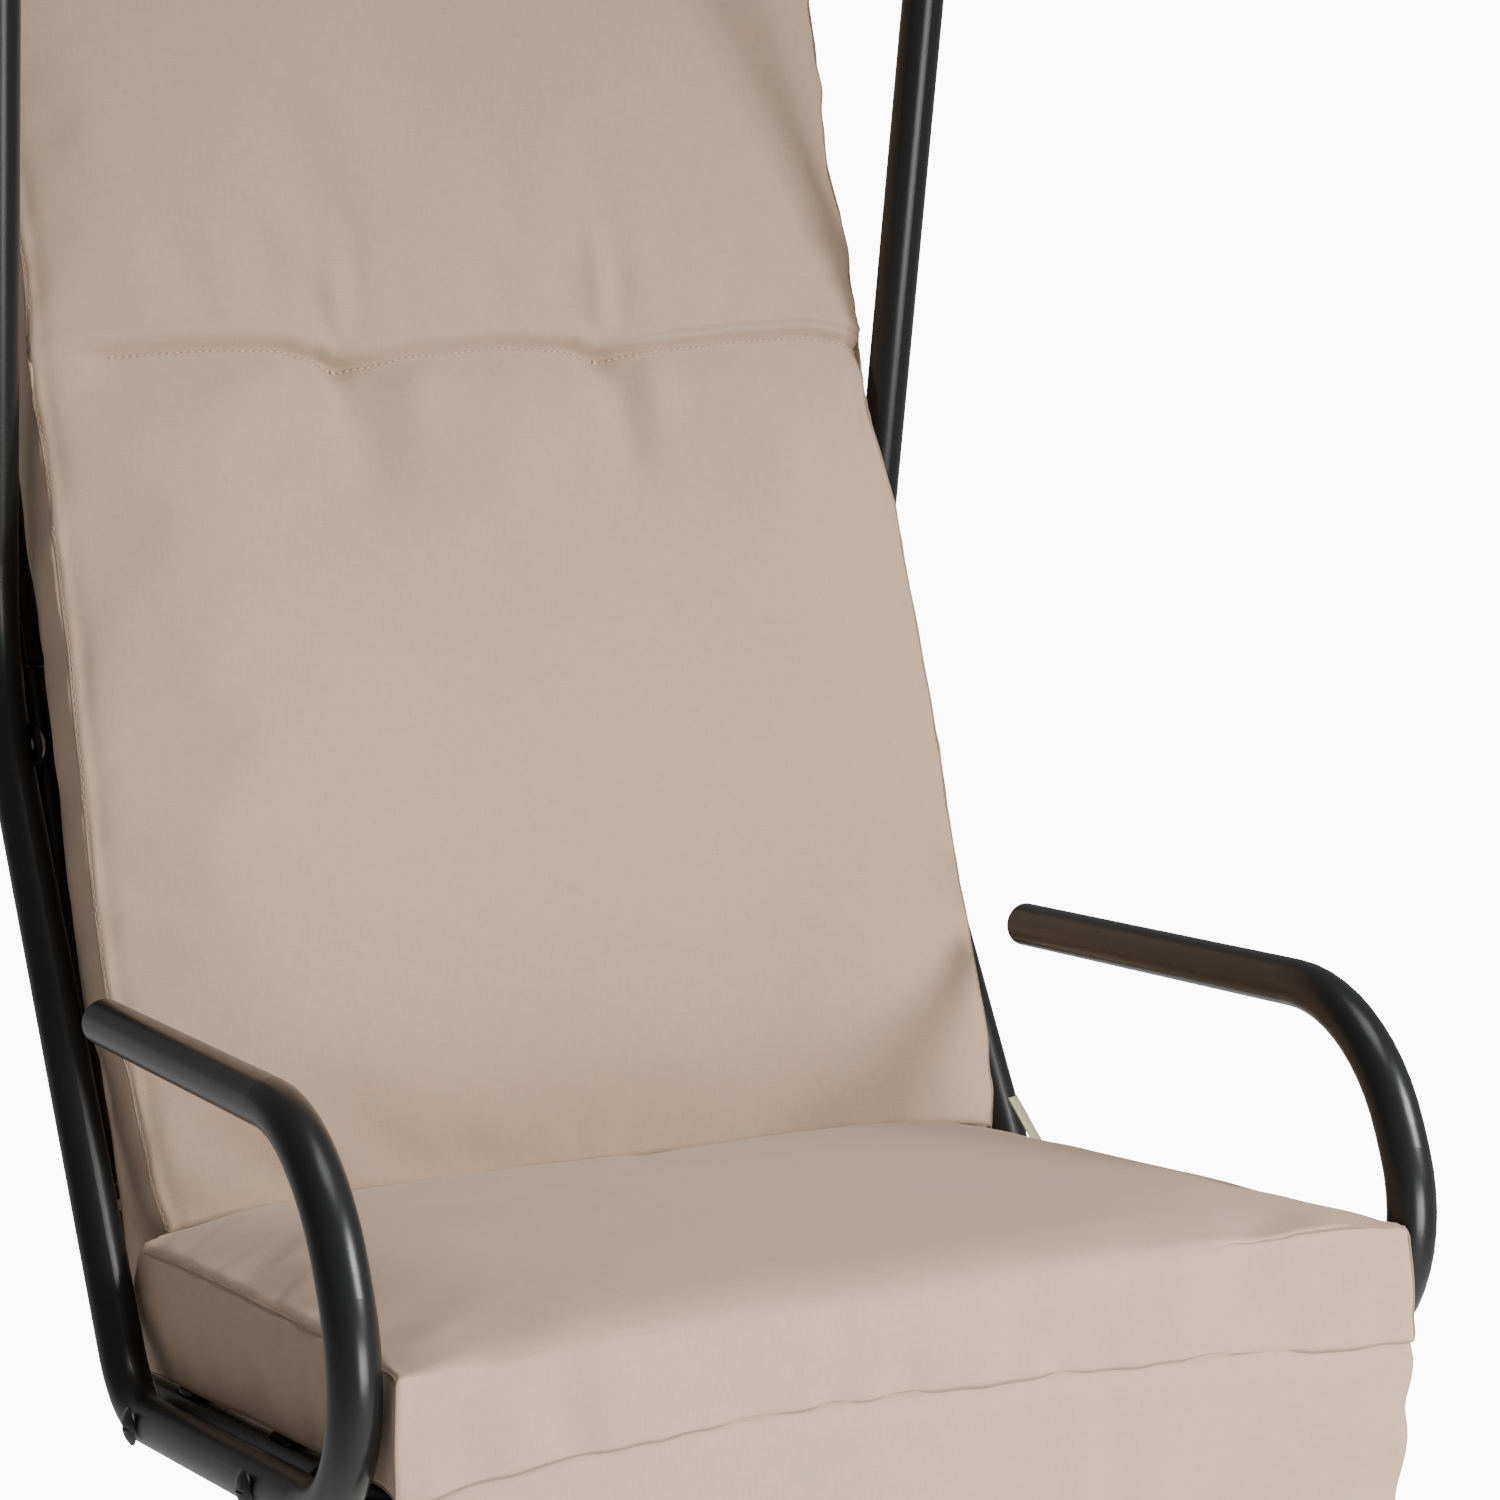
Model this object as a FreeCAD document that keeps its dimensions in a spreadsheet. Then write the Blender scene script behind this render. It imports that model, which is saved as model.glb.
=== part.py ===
import FreeCAD, Part
import math
import os
import re
import Sketcher

V = FreeCAD.Vector

doc = FreeCAD.newDocument("porch_swing_seat")
sheet = doc.addObject("Spreadsheet::Sheet", "Sizes")

# Driving dimensions, in millimetres and degrees
SIZES = {
    # side tubes: distance of their middle planes, section, runs from corner to corner and bends
    "gauge": 556,
    "tube_od": 25,
    "tube_wall": 1.5,
    "hanger_run": 868,
    "hanger_lean": 9.8,
    "knee_bend": 178,
    "post_run": 431,
    "post_lean": 33.4,
    "heel_bend": 50,
    "rail_run": 405,
    "rail_slope": 10.5,
    "nose_bend": 81,
    "nose_run": 185,
    "nose_lean": 25.9,
    "brow_bend": 96,
    "arm_run": 354,
    "arm_rise": 5.55,
    "plug_dome": 6,
    "plug_depth": 18,
    "plug_play": 0.1,
    # hanging eye, its bushes and the bracket under the top rail
    "eye_od": 27,
    "eye_width": 26,
    "bush_od": 16,
    "bush_play": 0.02,
    "bush_parting": 1,
    "flange_od": 24,
    "flange_thick": 2,
    "pivot_od": 10,
    "pivot_play": 0.05,
    "pivot_drop": 38,
    "side_play": 0.5,
    "ear_thick": 4,
    "ear_half": 18,
    "plate_length": 92,
    "plate_thick": 4,
    "plate_round": 6,
    "hang_hole": 8.5,
    "hang_pitch": 66,
    # inner frame: section, runs, bends and how far its corner stands behind the heel
    "frame_od": 22,
    "frame_wall": 1.5,
    "frame_play": 0.1,
    "frame_setback": 92,
    "seat_run": 448,
    "back_lean": 22.86,
    "corner_bend": 46,
    "front_bend": 60,
    "top_leg": 130,
    "top_bend": 75,
    "cross_od": 19,
    "cross_inset": 66,
    "slat_width": 30,
    "slat_thick": 3,
    "slat_overlap": 5,
    "slat_round": 4,
    "seat_slat_first": 130,
    "seat_slat_pitch": 160,
    "back_slat_first": 125,
    "back_slat_pitch": 150,
    # fasteners
    "bolt_od": 8,
    "bolt_play": 0.2,
    "thread_play": 0.05,
    "head_od": 20,
    "head_high": 4.5,
    "head_rim": 0.8,
    "slot_width": 2,
    "slot_deep": 1.6,
    "nut_flats": 13,
    "nut_high": 6.5,
    "collar_od": 11,
    "collar_high": 1.8,
    "pivot_flats": 17,
    "pivot_head": 6.4,
    "pivot_nut": 8,
    "pivot_collar": 14.5,
    "bolt_tail": 2,
    "bolt_chamfer": 1,
    "lug_thick": 3,
    "lug_half": 13,
    "lug_turn": 34.7,
    "rear_bolt": 8,
    "bolt_pitch": 200,
    "bolt_to_joint": 20,
    # cushions, skirt and ties
    "cushion_gap": 0.3,
    "joint_lean": 32.5,
    "seat_width": 526,
    "seat_depth": 446,
    "seat_overhang": 28,
    "seat_front_thick": 55,
    "seat_rear_thick": 70,
    "seat_edge_crown": 8,
    "seat_crown": 23,
    "seat_draw": 5,
    "seat_bulge": 5,
    "seat_front_bulge": 0.8,
    "back_width": 526,
    "back_length": 838,
    "back_rise": 30,
    "back_over_top": 18,
    "back_thick": 84,
    "back_crown": 16,
    "back_draw": 5,
    "back_bulge": 3,
    "back_tuck": 14,
    "tuft_height": 558,
    "tuft_depth": 13,
    "tuft_pitch": 158,
    "skirt_width": 520,
    "skirt_drop": 150,
    "skirt_taper": 6,
    "skirt_thick": 1.6,
    "skirt_wave": 4,
    "skirt_sewn_wave": 0.5,
    "skirt_set": 1,
    "skirt_gap": 0.3,
    "tie_width": 7,
    "tie_thick": 0.8,
    "tie_play": 0.2,
    "tie_height": 96,
    "tie_reach": 103,
    "tie_fall": 9,
    "tie_drop": 20,
}

# What follows from the driving dimensions: places are in the frame of the whole seat, behind (+Y)
# and above (+Z) the middle of the four hanging holes
FOLLOWS = {
    "half_gauge": "gauge / 2",
    "knee_turn": "hanger_lean + post_lean",
    "heel_turn": "90 - post_lean + rail_slope",
    "nose_turn": "90 - rail_slope + nose_lean",
    "brow_turn": "90 - nose_lean + arm_rise",
    "knee_back": "hanger_run * sin(hanger_lean)",
    "knee_up": "-pivot_drop - hanger_run * cos(hanger_lean)",
    "heel_back": "knee_back - post_run * sin(post_lean)",
    "heel_up": "knee_up - post_run * cos(post_lean)",
    "arm_back": "heel_back - rail_run * cos(rail_slope) + nose_run * sin(nose_lean)"
                " + (arm_run - plug_dome) * cos(arm_rise)",
    "arm_up": "heel_up + rail_run * sin(rail_slope) + nose_run * cos(nose_lean)"
              " - (arm_run - plug_dome) * sin(arm_rise)",
    "ear_inside": "eye_width / 2 + flange_thick + side_play",
    "ear_outside": "ear_inside + ear_thick",
    "frame_across": "half_gauge - tube_od / 2 - frame_od / 2 - frame_play",
    "corner_turn": "90 - back_lean + rail_slope",
    "corner_back": "heel_back + frame_setback * cos(rail_slope)",
    "corner_up": "heel_up - frame_setback * sin(rail_slope)",
    "slat_top": "frame_od / 2 + slat_thick",
    "bolt_along": "hanger_run - knee_bend * tan(knee_turn / 2) + knee_bend * sin(lug_turn)",
    "bolt_aside": "knee_bend * (1 - cos(lug_turn))",
    "bolt_back": "bolt_along * sin(hanger_lean) - bolt_aside * cos(hanger_lean)",
    "bolt_up": "-pivot_drop - bolt_along * cos(hanger_lean) - bolt_aside * sin(hanger_lean)",
    "lug_rise": "(bolt_back - corner_back) * sin(back_lean) + (bolt_up - corner_up) * cos(back_lean)",
    "lug_reach": "(corner_back - bolt_back) * cos(back_lean) + (bolt_up - corner_up) * sin(back_lean)",
    "rail_bolt_run": "heel_bend * tan(heel_turn / 2) + rear_bolt",
    "front_leg": "seat_run - frame_setback - rail_bolt_run - bolt_pitch - bolt_to_joint",
    "back_run": "back_rise + back_length - back_over_top",
    "seat_front_run": "seat_run - frame_setback + seat_overhang",
    "seat_front_back": "heel_back - seat_front_run * cos(rail_slope)"
                       " + (slat_top + cushion_gap) * sin(rail_slope)",
    "seat_front_up": "heel_up + seat_front_run * sin(rail_slope)"
                     " + (slat_top + cushion_gap) * cos(rail_slope)",
}

for row, (name, value) in enumerate(SIZES.items(), start=1):
    sheet.set("A%d" % row, name)
    sheet.set("B%d" % row, str(value))
    sheet.setAlias("B%d" % row, name)
for row, (name, formula) in enumerate(FOLLOWS.items(), start=len(SIZES) + 1):
    sheet.set("A%d" % row, name)
    sheet.set("B%d" % row, "=" + formula)
    sheet.setAlias("B%d" % row, name)
doc.recompute()

SEAT_SLATS = 2
BACK_SLATS = 5
SKIRT_WAVES = 4
SIDES = {"left": -1, "right": 1}

ALIAS = re.compile(r"\b(%s)\b" % "|".join(list(SIZES) + list(FOLLOWS)))
parts = []


def size(name):
    return float(getattr(sheet, name))


def number(expression):
    return float(sheet.evalExpression(expression))


def bind(target, path, expression):
    target.setExpression(path, ALIAS.sub(r"Sizes.\1", expression))


# Sketch helpers: each point, run, angle and radius is bound to the sheet
def origin_plane(body, role):
    for feature in body.Origin.OriginFeatures:
        if feature.Role == role:
            return feature


def new_body(label):
    body = doc.addObject("PartDesign::Body", label)
    body.Label = label
    parts.append(body)
    return body


def new_sketch(body, name, plane="XY_Plane", offset=None):
    sketch = body.newObject("Sketcher::SketchObject", name)
    sketch.AttachmentSupport = [(origin_plane(body, plane), "")]
    sketch.MapMode = "FlatFace"
    if offset:
        bind(sketch, ".AttachmentOffset.Base.z", offset)
    return sketch


def constrain(sketch, expression, *arguments):
    index = sketch.addConstraint(Sketcher.Constraint(*arguments))
    bind(sketch, "Constraints[%d]" % index, expression)


def pin(sketch, geometry, end, x, y):
    for kind, axis, expression in (("DistanceX", -2, x), ("DistanceY", -1, y)):
        if expression == "0":
            sketch.addConstraint(Sketcher.Constraint("PointOnObject", geometry, end, axis))
        else:
            constrain(sketch, expression, kind, -1, 1, geometry, end, number(expression))


def circle(sketch, x, y, diameter):
    centre = V(number(x), number(y), 0)
    index = sketch.addGeometry(Part.Circle(centre, V(0, 0, 1), number(diameter) / 2), False)
    pin(sketch, index, 3, x, y)
    constrain(sketch, diameter, "Diameter", index, number(diameter))


def outline(sketch, corners, through=None, centred=()):
    """Closed outline through corners; through gives a side's middle point, centred a centre on the Y axis."""
    through = through or {}
    points = [V(number(x), number(y), 0) for x, y in corners]
    count = len(points)
    ends = []
    for i, start in enumerate(points):
        stop = points[(i + 1) % count]
        if i in through:
            middle = V(number(through[i][0]), number(through[i][1]), 0)
            side = sketch.addGeometry(Part.Arc(start, middle, stop), False)
        elif i in centred:
            rise = stop.y - start.y
            centre_y = start.y + (stop.x ** 2 - start.x ** 2 + rise ** 2) / (2 * rise)
            centre = V(0, centre_y, 0)
            radius = start.distanceToPoint(centre)
            half = start - centre + stop - centre
            middle = centre + half.normalize() * radius
            side = sketch.addGeometry(Part.Arc(start, middle, stop), False)
            sketch.addConstraint(Sketcher.Constraint("PointOnObject", side, 3, -2))
        else:
            side = sketch.addGeometry(Part.LineSegment(start, stop), False)
        first = 1 if sketch.getPoint(side, 1).distanceToPoint(start) < 1e-6 else 2
        ends.append((side, first))
    for i, (side, first) in enumerate(ends):
        before, before_first = ends[i - 1]
        sketch.addConstraint(Sketcher.Constraint("Coincident", before, 3 - before_first, side, first))
        pin(sketch, side, first, *corners[i])
    for i, (x, y) in through.items():
        mark = sketch.addGeometry(Part.Point(V(number(x), number(y), 0)), True)
        pin(sketch, mark, 1, x, y)
        sketch.addConstraint(Sketcher.Constraint("PointOnObject", mark, 1, ends[i][0]))


def box_corners(x_half, y_half):
    return [("-(%s)" % x_half, "-(%s)" % y_half), (x_half, "-(%s)" % y_half),
            (x_half, y_half), ("-(%s)" % x_half, y_half)]


def pad(body, sketch, length, name, midplane=False, reverse=False):
    feature = body.newObject("PartDesign::Pad", name)
    feature.Profile = sketch
    feature.Midplane = midplane
    feature.Reversed = reverse
    bind(feature, "Length", length)
    doc.recompute()
    return feature


def cut(body, sketch, name, depth=None):
    before = body.Shape.Volume
    feature = body.newObject("PartDesign::Pocket", name)
    feature.Profile = sketch
    if depth:
        bind(feature, "Length", depth)
    else:
        feature.Type = "ThroughAll"
        feature.Midplane = True
    doc.recompute()
    if not feature.Shape.Volume < before:
        raise ValueError("%s cuts nothing" % name)
    return feature


def revolve(body, sketch, name):
    feature = body.newObject("PartDesign::Revolution", name)
    feature.Profile = sketch
    feature.ReferenceAxis = (sketch, ["V_Axis"])
    feature.Angle = 360
    doc.recompute()
    return feature


def repeat(body, features, sketch, count):
    pattern = body.newObject("PartDesign::LinearPattern", body.Label + "_row")
    pattern.Originals = features
    pattern.Direction = (sketch, ["H_Axis"])
    pattern.Occurrences = count
    bind(pattern, "Length", "bolt_pitch")
    body.Tip = pattern
    doc.recompute()


def round_edges(body, feature, radius, direction, name):
    edges = []
    for i, edge in enumerate(feature.Shape.Edges, start=1):
        if edge.Curve.TypeId == "Part::GeomLine" and abs(edge.tangentAt(0).dot(direction)) > 0.999:
            edges.append("Edge%d" % i)
    fillet = body.newObject("PartDesign::Fillet", name)
    fillet.Base = (feature, edges)
    bind(fillet, "Radius", radius)
    doc.recompute()
    return fillet


def place(body, x, y, z, x_axis, y_axis):
    x_axis = V(x_axis).normalize()
    y_axis = V(y_axis).normalize()
    turn = FreeCAD.Rotation(x_axis, y_axis, x_axis.cross(y_axis), "XYZ")
    body.Placement = FreeCAD.Placement(V(number(x), number(y), number(z)), turn)
    for axis, expression in (("x", x), ("y", y), ("z", z)):
        bind(body, ".Placement.Base.%s" % axis, expression)


def heading(angle_name, back, up):
    """Unit vector with the named angle's cosine or sine along +Y and +Z."""
    value = math.radians(size(angle_name))
    parts_of = {"cos": math.cos(value), "-cos": -math.cos(value),
                "sin": math.sin(value), "-sin": -math.sin(value)}
    return V(0, parts_of[back], parts_of[up])


ACROSS = V(1, 0, 0)


# A bent tube lies in one plane: it starts at its own origin along X and always bends towards Y.
# Each run is its length to the next corner, the turn there and the bend radius.
def bent_path(sketch, runs):
    angle = 0.0
    corner = V(0, 0, 0)
    start = corner
    lines = []
    arcs = []
    corners = []
    for length, turn, radius in runs:
        along = V(math.cos(angle), math.sin(angle), 0)
        side = V(-math.sin(angle), math.cos(angle), 0)
        corner = corner + along * number(length)
        corners.append(corner)
        if turn is None:
            lines.append(sketch.addGeometry(Part.LineSegment(start, corner), False))
            break
        bend = number(radius)
        step = math.radians(number(turn))
        tangent_point = corner - along * (bend * math.tan(step / 2))
        lines.append(sketch.addGeometry(Part.LineSegment(start, tangent_point), False))
        centre = tangent_point + side * bend
        first = angle - math.pi / 2
        arc = Part.ArcOfCircle(Part.Circle(centre, V(0, 0, 1), bend), first, first + step)
        arcs.append(sketch.addGeometry(arc, False))
        angle = angle + step
        start = arc.EndPoint
    sketch.addConstraint(Sketcher.Constraint("Coincident", lines[0], 1, -1, 1))
    sketch.addConstraint(Sketcher.Constraint("Horizontal", lines[0]))
    marks = [sketch.addGeometry(Part.Point(point), True) for point in corners[:-1]]
    for i, arc in enumerate(arcs):
        sketch.addConstraint(Sketcher.Constraint("Tangent", lines[i], 2, arc, 1))
        sketch.addConstraint(Sketcher.Constraint("Tangent", arc, 2, lines[i + 1], 1))
        constrain(sketch, runs[i][2], "Radius", arc, number(runs[i][2]))
        sketch.addConstraint(Sketcher.Constraint("PointOnObject", marks[i], 1, lines[i]))
        sketch.addConstraint(Sketcher.Constraint("PointOnObject", marks[i], 1, lines[i + 1]))
        constrain(sketch, "(%s) * 1 deg" % runs[i][1], "Angle", lines[i], lines[i + 1],
                  math.radians(number(runs[i][1])))
    ends = [(lines[0], 1)] + [(mark, 1) for mark in marks] + [(lines[-1], 2)]
    for i, run in enumerate(runs):
        constrain(sketch, run[0], "Distance", *ends[i], *ends[i + 1], number(run[0]))


def bent_tube(label, runs, outer, wall):
    body = new_body(label)
    path = new_sketch(body, label + "_path")
    bent_path(path, runs)
    ring = new_sketch(body, label + "_ring", "YZ_Plane")
    circle(ring, "0", "0", outer)
    circle(ring, "0", "0", "%s - 2 * %s" % (outer, wall))
    doc.recompute()
    pipe = body.newObject("PartDesign::AdditivePipe", label + "_tube")
    pipe.Profile = ring
    pipe.Spine = path
    doc.recompute()
    return body


def drill(body, name, spots, diameter, plane="XY_Plane"):
    sketch = new_sketch(body, name, plane)
    for x, y in spots:
        circle(sketch, x, y, diameter)
    doc.recompute()
    cut(body, sketch, name + "_cut")


# Side tubes: hanger, post, rail, nose and armrest in one bent tube, with the eye at the top
def side_tube(side, sign):
    label = "side_tube_" + side
    body = bent_tube(label, [
        ("hanger_run", "knee_turn", "knee_bend"),
        ("post_run", "heel_turn", "heel_bend"),
        ("rail_run", "nose_turn", "nose_bend"),
        ("nose_run", "brow_turn", "brow_bend"),
        ("arm_run - plug_dome", None, None)], "tube_od", "tube_wall")
    eye = new_sketch(body, label + "_eye")
    circle(eye, "0", "0", "eye_od")
    pad(body, eye, "eye_width", label + "_eye_pad", midplane=True)
    drill(body, label + "_bore", [("0", "0")], "bush_od + 2 * bush_play")
    holes = [("bolt_along", "bolt_aside")]
    for step in ("0", "bolt_pitch"):
        run = "(rail_bolt_run + %s)" % step
        back = "(heel_back - %s * cos(rail_slope))" % run
        up = "(heel_up + pivot_drop + %s * sin(rail_slope))" % run
        holes.append(("%s * sin(hanger_lean) - %s * cos(hanger_lean)" % (back, up),
                      "-%s * cos(hanger_lean) - %s * sin(hanger_lean)" % (back, up)))
    drill(body, label + "_bolt_holes", holes, "bolt_od + 2 * bolt_play")
    place(body, "%d * half_gauge" % sign, "0", "-pivot_drop",
          heading("hanger_lean", "sin", "-cos"), heading("hanger_lean", "-cos", "-sin"))


def arm_plug(side, sign):
    body = new_body("arm_plug_" + side)
    profile = new_sketch(body, body.Label + "_profile")
    bore = "tube_od / 2 - tube_wall - plug_play"
    outline(profile, [("0", "plug_dome"), ("0", "-plug_depth"), (bore + " - 1", "-plug_depth"),
                      (bore, "1 - plug_depth"), (bore, "0"), ("tube_od / 2", "0")], centred=(5,))
    revolve(body, profile, body.Label + "_turned")
    place(body, "%d * half_gauge" % sign, "arm_back", "arm_up", ACROSS * -1,
          heading("arm_rise", "cos", "-sin"))


# Hanging bracket: a plate with two ears, the pivot bolt with its lock nut, and the flanged bushes
def bracket(side, sign):
    body = new_body("bracket_" + side)
    plate = new_sketch(body, body.Label + "_plate")
    outline(plate, box_corners("ear_outside", "plate_length / 2"))
    top = pad(body, plate, "plate_thick", body.Label + "_plate_pad", reverse=True)
    round_edges(body, top, "plate_round", V(0, 0, 1), body.Label + "_corners")
    for end, offset, reverse in (("inner", "ear_inside", False), ("outer", "-ear_inside", True)):
        ear = new_sketch(body, "%s_%s_ear" % (body.Label, end), "YZ_Plane", offset)
        outline(ear, [("-ear_half", "-plate_thick"), ("-ear_half", "-pivot_drop"),
                      ("ear_half", "-pivot_drop"), ("ear_half", "-plate_thick")],
                through={1: ("0", "-pivot_drop - ear_half")})
        pad(body, ear, "ear_thick", "%s_%s_ear_pad" % (body.Label, end), reverse=reverse)
    drill(body, body.Label + "_hang_holes", [("0", "hang_pitch / 2"), ("0", "-hang_pitch / 2")],
          "hang_hole")
    drill(body, body.Label + "_pivot_hole", [("0", "-pivot_drop")], "pivot_od + 2 * bolt_play",
          "YZ_Plane")
    place(body, "%d * half_gauge" % sign, "0", "0", ACROSS, V(0, 1, 0))


def hexagon(flats):
    radius = flats + " / sqrt(3)"
    return [("%s * cos(%d)" % (radius, 60 * k), "%s * sin(%d)" % (radius, 60 * k)) for k in range(6)]


def pivot_bolt(side, sign):
    body = new_body("pivot_bolt_" + side)
    cap = new_sketch(body, body.Label + "_hexagon", "YZ_Plane")
    outline(cap, hexagon("pivot_flats"))
    pad(body, cap, "pivot_head", body.Label + "_head", reverse=True)
    shank = new_sketch(body, body.Label + "_circle", "YZ_Plane")
    circle(shank, "0", "0", "pivot_od")
    pad(body, shank, "2 * ear_outside + pivot_nut + collar_high + bolt_tail", body.Label + "_shank")
    place(body, "%d * (half_gauge + ear_outside)" % sign, "0", "-pivot_drop", ACROSS * -sign,
          V(0, 1, 0))


def lock_nut(label, flats, high, bore, collar, sign, x, y, z, y_axis=V(0, 1, 0), count=1):
    """Hexagon nut with its locking collar; its seat is at x and it grows along sign."""
    body = new_body(label)
    face = new_sketch(body, label + "_face", "YZ_Plane")
    outline(face, hexagon(flats))
    circle(face, "0", "0", bore + " + 2 * thread_play")
    features = [pad(body, face, high, label + "_pad")]
    ring = new_sketch(body, label + "_ring", "YZ_Plane", high)
    circle(ring, "0", "0", collar)
    circle(ring, "0", "0", bore + " + 2 * thread_play")
    features.append(pad(body, ring, "collar_high", label + "_collar"))
    if count > 1:
        repeat(body, features, face, count)
    place(body, x, y, z, ACROSS * sign, y_axis)


def pivot_bushes(side, sign):
    body = new_body("pivot_bushes_" + side)
    profile = new_sketch(body, body.Label + "_profile")
    inside = "pivot_od / 2 + pivot_play"
    outside = "bush_od / 2"
    flange = "flange_od / 2"
    seat = "eye_width / 2"
    outline(profile, [(inside, "bush_parting / 2"), (outside, "bush_parting / 2"), (outside, seat),
                      (flange, seat), (flange, seat + " + flange_thick"),
                      (inside, seat + " + flange_thick")])
    turned = revolve(body, profile, body.Label + "_turned")
    pair = body.newObject("PartDesign::Mirrored", body.Label + "_pair")
    pair.Originals = [turned]
    pair.MirrorPlane = (origin_plane(body, "XZ_Plane"), [""])
    body.Tip = pair
    doc.recompute()
    place(body, "%d * half_gauge" % sign, "0", "-pivot_drop", V(0, 0, 1), ACROSS)


# Inner frame: two side tubes, the front and top tubes that join them, a cross tube and flat slats
def frame_side(side, sign):
    body = bent_tube("frame_side_" + side, [
        ("seat_run - front_leg", "corner_turn", "corner_bend"),
        ("back_run - top_leg", None, None)], "frame_od", "frame_wall")
    start = "(seat_run - frame_setback - front_leg)"
    holes = []
    for step in ("0", "bolt_pitch"):
        holes.append(("%s - rail_bolt_run - %s" % (start, step), "0"))
    drill(body, body.Label + "_bolt_holes", holes, "bolt_od + 2 * bolt_play")
    place(body, "%d * frame_across" % sign, "heel_back - %s * cos(rail_slope)" % start,
          "heel_up + %s * sin(rail_slope)" % start, heading("rail_slope", "cos", "-sin"),
          heading("rail_slope", "sin", "cos"))


def frame_front():
    body = bent_tube("frame_front", [("front_leg", "90", "front_bend"),
                                     ("2 * frame_across", "90", "front_bend"),
                                     ("front_leg", None, None)], "frame_od", "frame_wall")
    start = "(seat_run - frame_setback - front_leg)"
    place(body, "-frame_across", "heel_back - %s * cos(rail_slope)" % start,
          "heel_up + %s * sin(rail_slope)" % start, heading("rail_slope", "-cos", "sin"), ACROSS)


def frame_top():
    body = bent_tube("frame_top", [("top_leg", "90", "top_bend"),
                                   ("2 * frame_across", "90", "top_bend"),
                                   ("top_leg", None, None)], "frame_od", "frame_wall")
    start = "(back_run - top_leg)"
    place(body, "-frame_across", "corner_back + %s * sin(back_lean)" % start,
          "corner_up + %s * cos(back_lean)" % start, heading("back_lean", "sin", "cos"), ACROSS)


def frame_cross():
    """Cross tube under the rear of the seat; its ends are coped round the side tubes."""
    body = new_body("frame_cross")
    ring = new_sketch(body, "frame_cross_ring", "YZ_Plane")
    circle(ring, "0", "0", "cross_od")
    circle(ring, "0", "0", "cross_od - 2 * frame_wall")
    pad(body, ring, "2 * frame_across", "frame_cross_tube", midplane=True)
    cope = new_sketch(body, "frame_cross_cope", "XZ_Plane")
    for end in ("-frame_across", "frame_across"):
        circle(cope, end, "0", "frame_od")
    doc.recompute()
    cut(body, cope, "frame_cross_coped")
    run = "(frame_setback - cross_inset)"
    place(body, "0", "heel_back + %s * cos(rail_slope)" % run, "heel_up - %s * sin(rail_slope)" % run,
          ACROSS, heading("rail_slope", "cos", "-sin"))


def slat(label, y, z, y_axis):
    """Flat bar across the frame, on the side that the cushion lies on."""
    body = new_body(label)
    face = new_sketch(body, label + "_face")
    outline(face, box_corners("frame_across + slat_overlap", "slat_width / 2"))
    bar = pad(body, face, "slat_thick", label + "_bar")
    round_edges(body, bar, "slat_round", V(0, 0, 1), label + "_corners")
    place(body, "0", y, z, ACROSS, y_axis)


def slats():
    for i in range(SEAT_SLATS):
        run = "(frame_setback - seat_slat_first - %d * seat_slat_pitch)" % i
        slat("seat_slat_%d" % (i + 1),
             "heel_back + %s * cos(rail_slope) + frame_od / 2 * sin(rail_slope)" % run,
             "heel_up - %s * sin(rail_slope) + frame_od / 2 * cos(rail_slope)" % run,
             heading("rail_slope", "cos", "-sin"))
    for i in range(BACK_SLATS):
        run = "(back_slat_first + %d * back_slat_pitch)" % i
        slat("back_slat_%d" % (i + 1),
             "corner_back + %s * sin(back_lean) - frame_od / 2 * cos(back_lean)" % run,
             "corner_up + %s * cos(back_lean) + frame_od / 2 * sin(back_lean)" % run,
             heading("back_lean", "sin", "cos"))


# Welded ear that the dome head bolt clamps against the side tube
def back_lug(side, sign):
    body = new_body("back_lug_" + side)
    near, far = "lug_rise - lug_half", "lug_rise + lug_half"
    plate = new_sketch(body, body.Label + "_plate", "XY_Plane", "%d * frame_od / 2" % sign)
    outline(plate, [(near, "0"), (far, "0"), (far, "lug_reach"), (near, "lug_reach")],
            through={2: ("lug_rise", "lug_reach + lug_half")})
    pad(body, plate, "lug_thick", body.Label + "_pad", reverse=sign > 0)
    cope = new_sketch(body, body.Label + "_cope", "YZ_Plane")
    circle(cope, "0", "0", "frame_od")
    doc.recompute()
    cut(body, cope, body.Label + "_coped")
    drill(body, body.Label + "_hole", [("lug_rise", "lug_reach")], "bolt_od + 2 * bolt_play")
    place(body, "%d * frame_across" % sign, "corner_back", "corner_up",
          heading("back_lean", "sin", "cos"), heading("back_lean", "-cos", "sin"))


def dome_bolt(label, grip, sign, x, y, z, x_axis, count=1):
    """Slotted dome head bolt; its head seats at x and its shank runs along sign."""
    body = new_body(label)
    profile = new_sketch(body, label + "_profile")
    long = grip + " + nut_high + collar_high + bolt_tail"
    outline(profile, [("0", "-head_high"), ("head_od / 2", "-head_rim"), ("head_od / 2", "0"),
                      ("bolt_od / 2", "0"), ("bolt_od / 2", long + " - bolt_chamfer"),
                      ("bolt_od / 2 - bolt_chamfer", long), ("0", long)], centred=(0,))
    turned = revolve(body, profile, label + "_turned")
    slot = new_sketch(body, label + "_slot", "XZ_Plane", "head_high")
    outline(slot, box_corners("head_od / 2", "slot_width / 2"))
    doc.recompute()
    slotted = cut(body, slot, label + "_slotted", "slot_deep")
    if count > 1:
        repeat(body, [turned, slotted], profile, count)
    place(body, x, y, z, x_axis, ACROSS * sign)


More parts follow.
